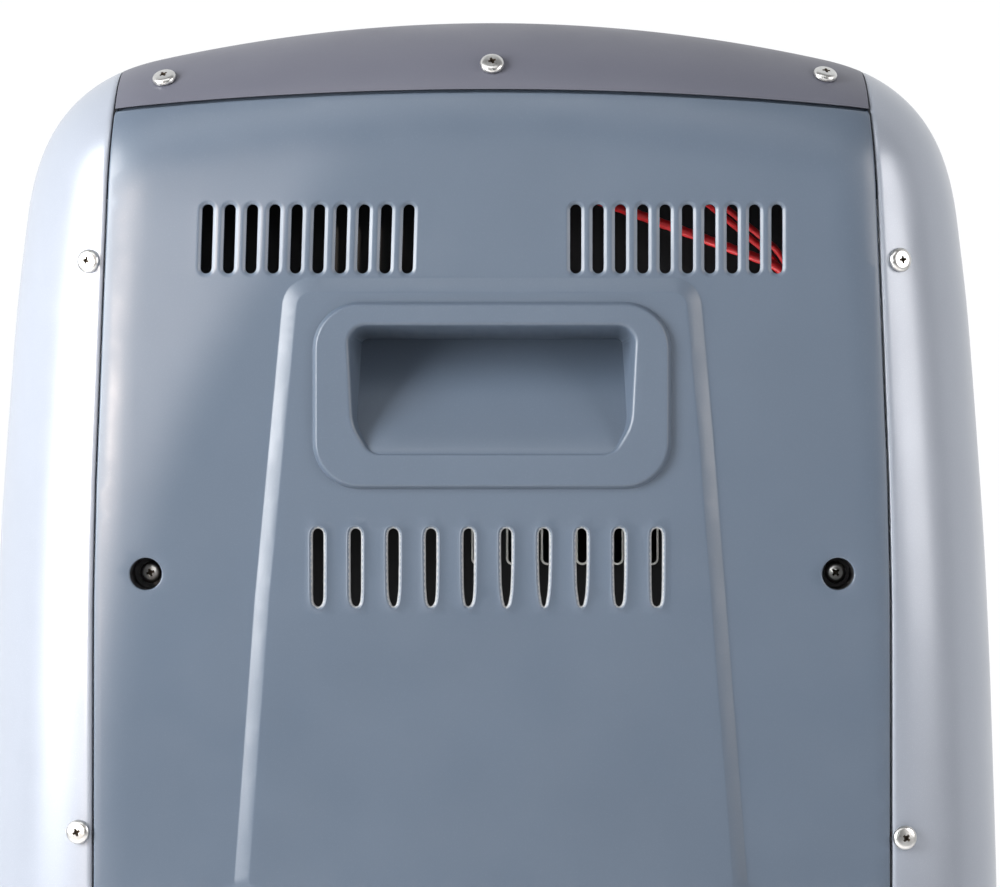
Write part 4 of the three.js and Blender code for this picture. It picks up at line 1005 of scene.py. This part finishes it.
# ------------------------------------------------------------------ screws
def pan_screw(name, at, normal, turn, r=5.45, h=3.0, lift=0.2, shank=10.0):
    """Pan head with a rounded shoulder, slight crown and a cross recess, on a plain shank."""
    prof = [(0, -shank), (1.2, -shank), (2.05, -shank + 1.2), (2.05, lift), (r - 0.25, lift), (r, lift + 0.3), (r, lift + 0.9)]
    for k in range(1, 9):
        t = math.pi / 2 * k / 8
        prof.append((r - 2.5 * (1 - math.cos(t)), lift + 0.9 + (h - 1.15) * math.sin(t)))
    prof += [(r * 0.35, lift + h - 0.08), (0, lift + h)]
    head = lathe(name, prof, [M_SCREW, M_RECESS_SHADE], n=48)
    # the recess cutters carry the dark brown onto the recess faces: painted shade
    cutters = []
    for a in (0.0, math.pi / 2):
        w0, w1, l0, l1, dep = 0.34, 0.62, 0.9, 2.15, 2.0
        vs = []
        for (w, l, z) in ((w0, l0, lift + h - dep), (w1, l1, lift + h + 0.6)):
            for sx, sy in ((-1, -1), (1, -1), (1, 1), (-1, 1)):
                x, y = sx * l, sy * w
                vs.append(((x * math.cos(a) - y * math.sin(a)) * MM, (x * math.sin(a) + y * math.cos(a)) * MM, z * MM))
        fs = [(3, 2, 1, 0), (4, 5, 6, 7), (0, 1, 5, 4), (1, 2, 6, 5), (2, 3, 7, 6), (3, 0, 4, 7)]
        cutters.append(link("recess", vs, fs, [M_SCREW, M_RECESS_SHADE], [1] * 6, smooth=False))
    cone = lathe("recess_core", [(0, lift + h - 2.3), (0.75, lift + h - 1.7), (1.25, lift + h + 0.5), (0, lift + h + 0.5)], [M_SCREW, M_RECESS_SHADE], n=16, face_mats=[1] * 4)
    head = cut(head, cutters + [cone])
    rot = Vector((0, 0, 1)).rotation_difference(Vector(normal).normalized()) @ Quaternion((0, 0, 1), turn)
    mat = Matrix.Translation(Vector(at) * MM) @ rot.to_matrix().to_4x4()
    head.data.transform(mat)
    add_bevel(head, 0.12, 2, 40)
    return head


for node, x, z, turn in (("cap_screw_left", 148.5, 1019.9, 0.5), ("cap_screw_centre", 0, 1025.3, 0.35), ("cap_screw_right", -151.3, 1021.8, 0.15),
                         ("rail_screw_upper_left", 180.6, 936.5, 0.9), ("rail_screw_upper_right", -182.8, 937.1, 0.55),
                         ("rail_screw_lower_left", 185, 681.1, 0.2), ("rail_screw_lower_right", -184.5, 678.5, 1.1)):
    p, n = skin_frame(x, z)
    piece(pan_screw("screw_" + node, p, n, turn), "cabinet", "screw", node)
for node, sx, turn in (("well_screw_left", 154.5, 0.3), ("well_screw_right", -155.4, 0.75)):
    piece(pan_screw("screw_" + node, (sx, HALF_D - WELL[3] + 0.15, WELL[1]), (0, 1, 0), turn, r=4.7, h=2.8), "cabinet", "screw", node)

# ------------------------------------------------------------------ inner rear shield
sh_out = rrect(-190, 190, 486, 982, 2, 2, 10)
holes, loops = [], []
SHIELD_X = [x - 3.3 for x in ROW_X]
for cx in SHIELD_X:
    h = stadium(cx, 797.2, 833.6, 4.4)
    holes.append(h)
    loops += [offset_loop(h, d) for d in (0.5, 1.0, 1.3)]
shield_slots = list(holes)


def shield_height(x, z):
    h = np.full(np.shape(x), 51.5)
    for cx in SHIELD_X:                            # turned-up collar round each slot
        d = sd_stadium(x, z, cx, 797.2, 833.6, 4.4)
        h = h + 0.9 * np.clip((1.3 - d) / 0.5, 0, 1)
    # pressed stiffening rib across the sheet
    h = h + 1.6 * np.exp(-((z - 852.0) / 5.0) ** 2)
    return h


shield = patch("rear_shield_sheet", sh_out, holes, loops, [np.array([(-188, z), (188, z)]) for z in (840, 846, 850, 854, 858, 864)], 14.0,
               shield_height, 1.4, [M_BLACK, M_EDGE], rim=(1.0, 1, shield_slots), edge_r=1.2)
piece(shield, "cabinet", "black_sheet", "inner_rear_shield")

# ------------------------------------------------------------------ red leads
LEADS = {
    "red_lead_main": ([(-10, 30, 972), (-20, 90, 978), (-46, 141, 966.6), (-134, 141, 934.5), (-155, 132, 888), (-160, 110, 640), (-150, 100, 400), (-60, 88, 340)], 2.15, 24),
    "red_lead_second": ([(-18, 22, 976), (-60, 112, 982), (-98.9, 131, 969.8), (-131.5, 131, 943.1), (-146, 127, 915), (-164, 120, 860), (-168, 104, 640), (-166, 94, 420), (-166, 60, 334)], 1.5, 24),
    "red_lead_third": ([(-28, 16, 980), (-62, 104, 985), (-96.7, 126, 967.2), (-129.3, 126, 940.5), (-142, 122, 912), (-171, 114, 850), (-176, 98, 640), (-174, 88, 420), (-174, 50, 334)], 1.5, 24),
}
for nm, (pts, r, corner) in LEADS.items():
    P = soft_corners(pts, corner, 10)
    P2 = []
    for i in range(len(P) - 1):
        k = max(1, int((P[i + 1] - P[i]).length / 2.2))
        P2 += [P[i].lerp(P[i + 1], j / k) for j in range(k)]
    P2.append(P[-1])
    ob = sweep(nm + "_sleeve", P2, r, [M_WIRE], sides=14, twist=1.1, lobes=3, lobe=0.05)
    piece(ob, "cabinet", "red_wire", nm)

# ------------------------------------------------------------------ front: lower panel, fascia, guard, coil
def front_low(x, z):
    h = 0.0
    for cx in ROW_X:
        d = sd_stadium(x, z, cx - 2, 384, 420, ROW_W)
        h = h - roll_off(d, 1.2)
    d = sd_poly(x, z, rrect(-140, 140, 120, 350, 16, 8, 10))
    return h - 1.6 * ramp(-d / 6.0, 0.15)


fl_out = panel_outline(82.0, 477.5)
holes, loops = [], []
for cx in ROW_X:
    h = stadium(cx - 2, 384, 420, ROW_W)
    holes.append(h)
    loops += [offset_loop(h, d) for d in (0.3, 0.7, 1.2)]
for d in (-0.5, 0.5, 5.5, 6.5):
    loops.append(offset_loop(rrect(-140, 140, 120, 350, 16, 8, 10), -d))
ob = patch("front_lower_sheet", fl_out, holes, loops, [], 10.0, with_edge(fl_out, front_low), 2.6, [M_PEARL], side=-1.0)
piece(ob, "cabinet", "pearl", "front_lower_panel")

BUTTONS = (("power", -105, 8.0), ("timer", -75, 6.0), ("down", 75, 6.0), ("up", 105, 8.0))


def fascia(x, z):
    h = -roll_off(sd_poly(x, z, DISPLAY), 1.2) * (sd_poly(x, z, DISPLAY) > -0.01)
    for _, cx, r in BUTTONS:
        d = np.hypot(x - cx, z - 946) - (r + 0.5)
        h = h - roll_off(d, 1.0) * (d > -0.01)
    d = sd_poly(x, z, PLATE)
    return h - 1.0 * ramp(-d / 2.0, 0.2)


DISPLAY = rrect(-52, 52, 926, 966, 4, 8, 4)
PLATE = rrect(-132, 132, 914, 978, 10, 8, 6)
cp_out = panel_outline(903.4, 0, top_gap=1.3)
holes = [DISPLAY] + [circle(x, 946, r + 0.5, 40) for _, x, r in BUTTONS]
loops = [offset_loop(DISPLAY, d) for d in (0.3, 0.7, 1.2)] + [circle(x, 946, r + 0.5 + d, 40) for _, x, r in BUTTONS for d in (0.3, 1.0)]
loops += [offset_loop(PLATE, -d) for d in (-0.4, 0.3, 1.7, 2.4)]
ob = patch("fascia_moulding_panel", cp_out, holes, loops, [], 8.0, with_edge(cp_out, fascia), 2.6, [M_FASCIA], side=-1.0)
piece(ob, "cabinet", "dark_plastic", "control_panel")
for nm, x, r in BUTTONS:
    prof = rounded_profile([(0, 172.6), (r * 0.5, 172.9), (r - 0.9, 172.5), (r, 171.4), (r, 164.7), (r + 1.6, 164.6), (r + 1.6, 163.4), (2, 163.4), (2, 158.4), (0, 158.4)], 0.5, 2)
    ob = lathe("key_" + nm, prof, [M_HUB], axis=(0, -1, 0), at=(x, 0, 946), n=48)
    piece(ob, "button_" + nm, "dark_plastic", "button_" + nm)

rods = []
frame_pts = soft_corners([(0, -165.5, 485), (171.5, -165.5, 485), (171.5, -165.5, 894), (-171.5, -165.5, 894), (-171.5, -165.5, 485), (0.01, -165.5, 485)], 10, 6)
rods.append(sweep("guard_frame", frame_pts, 2.9, [M_BLACK], 14))
for i in range(1, 11):
    z = 488 + i * 36.82
    rods.append(sweep("guard_wire", [(-171.5, -165.8, z), (0, -165.8, z), (171.5, -165.8, z)], 1.6, [M_BLACK], 10))
for x in (-85, 0, 85):
    rods.append(sweep("guard_upright", [(x, -163.6, 485), (x, -163.6, 690), (x, -163.6, 894)], 1.6, [M_BLACK], 10))
guard = join("guard_wires", rods)
for p in guard.data.polygons:
    p.use_smooth = True
piece(guard, "cabinet", "black_sheet", "front_guard")

RUN_Z = (522, 606, 690, 774, 858)
RUN_X, RISER_X, AXIS_Y, AXIS_Z = 82, -122, -50, 400
pts = [(RISER_X, AXIS_Y, 452), (RISER_X, AXIS_Y, RUN_Z[0])]
side = 1
for i, z in enumerate(RUN_Z):
    last = i == len(RUN_Z) - 1
    x = 0 if last else side * (RUN_X + 42)
    pts.append((x, AXIS_Y, z))
    if not last:
        pts.append((x, AXIS_Y, RUN_Z[i + 1]))
    side = -side
pts += [(0, AXIS_Y, 930), (0, 0, 990), (0, 0, 1043.4)]
coil = sweep("radiant_tube", soft_corners(pts, 41, 10), 25, [M_TUBE], 36, bore=23)
beads = []
for i, z in enumerate(RUN_Z[:-1]):
    for x in (-78, 78):
        beads.append(lathe("weld", [(25.0, -2.0), (25.9, -1.2), (26.2, 0), (25.9, 1.2), (25.0, 2.0)], [M_HOT], axis=(1, 0, 0), at=(x, AXIS_Y, z), n=36))
coil = join("radiant_tube_welded", [coil] + beads)
for p in coil.data.polygons:
    p.use_smooth = True
coil.data.set_sharp_from_angle(angle=math.radians(45))
piece(coil, "cabinet", "ceramic_tube", "radiant_coil")

# ------------------------------------------------------------------ reflector: polished inside, heat-scaled outside
REF = [(172.0, -150.0), (150.0, -14.0), (112.0, 20.0), (-112.0, 20.0), (-150.0, -14.0), (-172.0, -150.0)]
ref_line = densify([tuple(p) for p in [(q.x, q.y) for q in [Vector((v.x, v.y)) for v in soft_corners([(a, b, 0) for a, b in REF], 12, 6)]]], 9.0, False)
ref_line = np.array(ref_line)
tang = np.gradient(ref_line, axis=0)
tang /= np.linalg.norm(tang, axis=1)[:, None]
norm_out = np.stack([-tang[:, 1], tang[:, 0]], 1)
if norm_out[len(norm_out) // 2][1] < 0:
    norm_out = -norm_out
z_rows = np.concatenate([np.linspace(488, 892, 102)])


def ribs_at(z):
    """Pressed horizontal beads that stiffen the sheet; one sits just behind the rear slots."""
    h = 0.0
    for zc in (548.0, 648.0, 748.0, 807.4, 862.0):
        h += 1.5 * math.exp(-((z - zc) / 2.6) ** 2)
    return h


inside = np.array([[(p[0], p[1], z) for p in ref_line + norm_out * ribs_at(z)] for z in z_rows])
outside_ = np.array([[(p[0], p[1], z) for p in ref_line + norm_out * (ribs_at(z) + 0.9)] for z in z_rows])
ref = grid_shell("reflector_sheet", inside, outside_, [M_REFLECT, M_SCALE], bevel=0)
mi = []
nx = ref_line.mean(0)
for p in ref.data.polygons:
    c, n = p.center, p.normal
    # the inside faces the front and the middle
    toward = Vector((-c.x, -0.075 - c.y, 0.0))
    mi.append(0 if n.dot(toward) > 0 else 1)
ref.data.polygons.foreach_set("material_index", np.array(mi, dtype=np.int32))
floor_poly = np.array([(p[0] * 0.985, p[1] - 1.2) for p in ref_line[::-1]])
n = len(floor_poly)
vs = [(p[0] * MM, p[1] * MM, 0.4872) for p in floor_poly] + [(p[0] * MM, p[1] * MM, 0.4860) for p in floor_poly]
fs = [tuple(range(n)), tuple(range(2 * n - 1, n - 1, -1))] + [(k, k + n, (k + 1) % n + n, (k + 1) % n) for k in range(n)]
fl_ref = link("reflector_floor", vs, fs, [M_REFLECT], smooth=False)
hole_cut = lathe("riser_hole", [(0, 480), (27.5, 480), (27.5, 495), (0, 495)], [M_REFLECT], at=(-122, -50, 0), n=64)
fl_ref = cut(fl_ref, [hole_cut])
ref = join("reflector_with_floor", [ref, fl_ref])
piece(ref, "cabinet", "reflector", "reflector")

# ------------------------------------------------------------------ exhaust grille
gr_out = circle(0, 0, 61.2, 96)
ob = lathe("grille_plate", rounded_profile([(0, 1050.0), (61.2, 1050.0), (61.2, 1046.8), (0, 1046.8)], 0.6, 3), [M_BLACK], n=96)
cutters = []
for i in range(-4, 5):
    h = math.sqrt(46 * 46 - (i * 10) ** 2)
    st = stadium(i * 10, -h, h, 5.0, 10)
    n = len(st)
    vs = [(p[0] * MM, p[1] * MM, 1.03) for p in st] + [(p[0] * MM, p[1] * MM, 1.07) for p in st]
    fs = [tuple(range(n))[::-1], tuple(range(n, 2 * n))] + [(k, (k + 1) % n, n + (k + 1) % n, n + k) for k in range(n)]
    cutters.append(link("slot_cut", vs, fs, [M_BLACK], smooth=False))
ob = cut(ob, cutters)
add_bevel(ob, 0.5, 2, 40)
piece(ob, "cabinet", "black_sheet", "exhaust_grille")

# ------------------------------------------------------------------ filler cap, gland
tilt = math.radians(60)
nd = Vector((0, math.sin(tilt), math.cos(tilt)))
n0 = Vector((-120, 66, 284))
prof = rounded_profile([(22.5, 88), (22.5, 103), (0, 103)][::-1] + [(22.5, 88), (29, 88), (31, 90), (31, 107), (29, 109), (16, 109.2), (0, 109)], 1.0, 3)
prof = [(0, 103), (22.5, 103), (22.5, 88), (29.4, 88), (30.6, 89.2), (30.9, 92), (30.9, 105.5), (30.2, 107.8), (28.5, 109), (20, 109.2), (0, 109.2)]
capb = lathe("filler_cap_body", prof, [M_DARK], axis=tuple(nd), at=tuple(n0), n=72)
ribs = []
rot = Vector((0, 0, 1)).rotation_difference(nd)
for i in range(24):
    a = 2 * math.pi * i / 24
    c = Vector((30.3 * math.cos(a), 30.3 * math.sin(a), 0))
    ribs.append(sweep("rib", [tuple(n0 + rot @ (c + Vector((0, 0, h)))) for h in (91, 98, 105)], 0.9, [M_DARK], 8))
bar = [tuple(n0 + rot @ Vector(v)) for v in ((-22, 0, 110.5), (-16, 0, 112.4), (0, 0, 112.8), (16, 0, 112.4), (22, 0, 110.5))]
ribs.append(sweep("bar", path_points(bar, 3), 4.2, [M_DARK], 16))
fc = join("filler_cap", [capb] + ribs)
for p in fc.data.polygons:
    p.use_smooth = True
fc.data.set_sharp_from_angle(angle=math.radians(40))
piece(fc, "fuel_cap", "dark_plastic", "fuel_cap")

g = lathe("gland_body", rounded_profile([(4.4, 156), (10, 156), (10, 170.4), (11, 171.5), (11, 172), (9.6, 175.2), (6, 175.8), (4.4, 175.4), (4.4, 156)], 0.6, 3), [M_DARK], axis=(0, 1, 0), at=(130, 0, 150), n=48)
nuts = []
for y0, y1 in ((160.2, 166.4), (170.5, 173.0)):
    vs, fs = [], []
    for y in (y0, y1):
        for k in range(6):
            a = math.radians(60 * k)
            vs.append(((130 + 14 * math.cos(a)) * MM, y * MM, (150 + 14 * math.sin(a)) * MM))
    fs = [tuple(range(6)), tuple(range(11, 5, -1))] + [(k, k + 6, (k + 1) % 6 + 6, (k + 1) % 6) for k in range(6)]
    nuts.append(link("nut", vs, fs, [M_DARK], smooth=False))
ob = join("cable_gland", [g] + nuts)
add_bevel(ob, 0.5, 2, 35)
piece(ob, "cabinet", "dark_plastic", "mains_cable_gland")

# ------------------------------------------------------------------ wheels
for nm, i, j in (("front_left", 1, -1), ("front_right", -1, -1), ("rear_left", 1, 1), ("rear_right", -1, 1)):
    cx, cy = i * 186, j * 126 + 14
    prof = [(4.1, -12.6), (6.6, -12.6), (7, -12.2), (7, -9.4), (9, -8.2), (18.4, -8.6), (19.4, -9.9), (20.5, -10.0), (22.6, -9.6), (24.2, -8.2), (25, -6.0), (25, -2.2), (24.5, -1.9),
            (24.5, 1.9), (25, 2.2), (25, 6.0), (24.2, 8.2), (22.6, 9.6), (20.5, 10.0), (19.4, 9.9), (18.4, 8.6), (9, 8.2), (7, 9.4), (7, 12.2), (6.6, 12.6), (4.1, 12.6), (4.1, -12.6)]
    fm = [1] * 5 + [1] + [0] * 14 + [1] * 6
    ob = lathe("wheel_" + nm, prof, [M_RUBBER, M_HUB], axis=(1, 0, 0), at=(cx, cy, 25), n=72, face_mats=fm)
    piece(ob, "wheel_" + nm, "rubber", "caster_wheel_" + nm)

# ------------------------------------------------------------------ stage and light
floor_v = [(3.4 * math.cos(2 * math.pi * k / 96), 3.4 * math.sin(2 * math.pi * k / 96), 0.0) for k in range(96)]
fl = link("studio_floor", floor_v, [tuple(range(96))], [M_FLOOR], smooth=False)

scene = bpy.context.scene
scene.view_settings.view_transform = "Standard"
scene.view_settings.look = "None"
scene.view_settings.exposure = 0.0

# white behind the object, and a dimmer room in front of it that is brighter to the left and above
world = bpy.data.worlds.new("studio")
scene.world = world
world.use_nodes = True
wn = world.node_tree
for nd_ in list(wn.nodes):
    wn.nodes.remove(nd_)
w_out = wn.nodes.new("ShaderNodeOutputWorld")
w_tc = wn.nodes.new("ShaderNodeTexCoord")
w_sep = wn.nodes.new("ShaderNodeSeparateXYZ")
wn.links.new(w_tc.outputs["Generated"], w_sep.inputs["Vector"])


def w_math(op, a, b=None, clamp=False):
    n = wn.nodes.new("ShaderNodeMath")
    n.operation = op
    n.use_clamp = clamp
    for k, v in enumerate((a, b)):
        if v is None:
            continue
        if isinstance(v, (int, float)):
            n.inputs[k].default_value = v
        else:
            wn.links.new(v, n.inputs[k])
    return n.outputs["Value"]


ROOM = {"even": 0.05, "left": 0.10, "right": 0.03, "above": 0.05}
w_back = wn.nodes.new("ShaderNodeMapRange")
w_back.interpolation_type = "SMOOTHSTEP"
w_back.inputs["From Min"].default_value = 0.12
w_back.inputs["From Max"].default_value = -0.12
wn.links.new(w_sep.outputs["Y"], w_back.inputs["Value"])
back_f = w_back.outputs["Result"]
lobe_l = w_math("POWER", w_math("MAXIMUM", w_sep.outputs["X"], 0.0), 2.0)
lobe_r = w_math("POWER", w_math("MAXIMUM", w_math("MULTIPLY", w_sep.outputs["X"], -1.0), 0.0), 2.0)
lobe_u = w_math("POWER", w_math("MAXIMUM", w_sep.outputs["Z"], 0.0), 2.0)
room = w_math("ADD", w_math("MULTIPLY", lobe_l, ROOM["left"]), w_math("MULTIPLY", lobe_r, ROOM["right"]))
room = w_math("ADD", room, w_math("MULTIPLY", lobe_u, ROOM["above"]))
room = w_math("ADD", room, ROOM["even"])
front_f = w_math("SUBTRACT", 1.0, back_f)
total = w_math("ADD", w_math("MULTIPLY", front_f, room), w_math("MULTIPLY", back_f, 1.02))
# the backdrop itself is the same pale tone whichever way one looks
seen = wn.nodes.new("ShaderNodeLightPath").outputs["Is Camera Ray"]
total = w_math("ADD", w_math("MULTIPLY", total, w_math("SUBTRACT", 1.0, seen)), w_math("MULTIPLY", seen, 1.02))
w_bg = wn.nodes.new("ShaderNodeBackground")
w_bg.inputs["Color"].default_value = (0.985, 0.992, 1.0, 1.0)
wn.links.new(total, w_bg.inputs["Strength"])
wn.links.new(w_bg.outputs["Background"], w_out.inputs["Surface"])


def area(name, loc, target, size, power, color=(1, 1, 1), size_y=None):
    d = bpy.data.lights.new(name, "AREA")
    d.shape = "RECTANGLE"
    d.size, d.size_y = size, size_y or size
    d.energy = power
    d.color = color
    o = bpy.data.objects.new(name, d)
    scene.collection.objects.link(o)
    o.location = loc
    o.rotation_euler = (Vector(target) - Vector(loc)).to_track_quat("-Z", "Y").to_euler()
    return o


# (place, aim, width, height, power, colour)
LAMPS = {
    "key_left": ((1.35, 1.0, 1.22), (0.0, 0.17, 0.85), 0.7, 1.05, 60.0, (1.0, 1.0, 1.0)),
    "top_near": ((0.1, 0.85, 1.75), (0.0, 0.17, 0.95), 0.9, 0.35, 3.0, (1.0, 0.995, 0.99)),
    "right": ((-1.35, 1.0, 1.24), (0.0, 0.17, 0.80), 0.7, 1.0, 17.5, (1.0, 0.965, 0.945)),
    "lens_fill": ((0.02, 1.72, 1.02), (0.0, 0.17, 0.98), 0.16, 0.16, 1.6, (1.0, 1.0, 1.0)),
    "behind_slots": ((0.0, 0.150, 0.70), (0.0, 0.05, 0.82), 0.30, 0.05, 0.12, (1.0, 1.0, 1.0)),
    "behind_vents": ((-0.098, 0.152, 0.888), (-0.10, 0.135, 0.95), 0.07, 0.02, 0.03, (1.0, 1.0, 1.0)),
}
for lamp, (loc, aim, sx, sy, power, colour) in LAMPS.items():
    area(lamp, loc, aim, sx, power, colour, sy)

# a lamp whose beam is masked to an arc, so only the left flank of the panel catches it
spot = bpy.data.lights.new("flank_light", "SPOT")
spot.energy = 228.0
spot.color = (1.0, 0.86, 0.75)
spot.spot_size = math.radians(120)
spot.spot_blend = 0.3
spot.shadow_soft_size = 0.012
spot.use_nodes = True
so = bpy.data.objects.new("flank_light", spot)
scene.collection.objects.link(so)
LX, LY, LZ = 1.10, 2.40, 1.00
so.location = (LX, LY, LZ)
so.rotation_euler = (math.radians(90), 0, math.radians(180))
nt = spot.node_tree
N, L = nt.nodes, nt.links
em = N["Emission"]
tc = N.new("ShaderNodeTexCoord")
sep = N.new("ShaderNodeSeparateXYZ")
L.new(tc.outputs["Normal"], sep.inputs["Vector"])


def math_node(op, a, b=None, clamp=False):
    n = N.new("ShaderNodeMath")
    n.operation = op
    n.use_clamp = clamp
    for k, v in enumerate((a, b)):
        if v is None:
            continue
        if isinstance(v, (int, float)):
            n.inputs[k].default_value = v
        else:
            L.new(v, n.inputs[k])
    return n.outputs["Value"]


throw = LY - 0.170
absz = math_node("ABSOLUTE", sep.outputs["Z"])
px = math_node("MULTIPLY", math_node("DIVIDE", sep.outputs["X"], absz), -throw)
pz = math_node("MULTIPLY", math_node("DIVIDE", sep.outputs["Y"], absz), throw)
wx = math_node("ADD", px, LX)
wz = math_node("ADD", pz, LZ)
dx = math_node("SUBTRACT", wx, -0.270)
dz = math_node("SUBTRACT", wz, 0.690)
dist = math_node("SQRT", math_node("ADD", math_node("MULTIPLY", dx, dx), math_node("MULTIPLY", dz, dz)))
mask = N.new("ShaderNodeMapRange")
mask.interpolation_type = "SMOOTHSTEP"
mask.inputs["From Min"].default_value = 0.438
mask.inputs["From Max"].default_value = 0.458
L.new(dist, mask.inputs["Value"])
fade = N.new("ShaderNodeMapRange")
fade.interpolation_type = "SMOOTHSTEP"
fade.inputs["From Min"].default_value = 0.945
fade.inputs["From Max"].default_value = 1.015
fade.inputs["To Min"].default_value = 1.0
fade.inputs["To Max"].default_value = 0.12
L.new(wz, fade.inputs["Value"])
inner = N.new("ShaderNodeMapRange")                # it stops at the side panel, whose own light is the key
inner.interpolation_type = "SMOOTHSTEP"
inner.inputs["From Min"].default_value = 0.176
inner.inputs["From Max"].default_value = 0.196
inner.inputs["To Min"].default_value = 1.0
inner.inputs["To Max"].default_value = 0.35
L.new(wx, inner.inputs["Value"])
beam = math_node("MULTIPLY", mask.outputs["Result"], fade.outputs["Result"])
L.new(math_node("MULTIPLY", beam, inner.outputs["Result"]), em.inputs["Strength"])
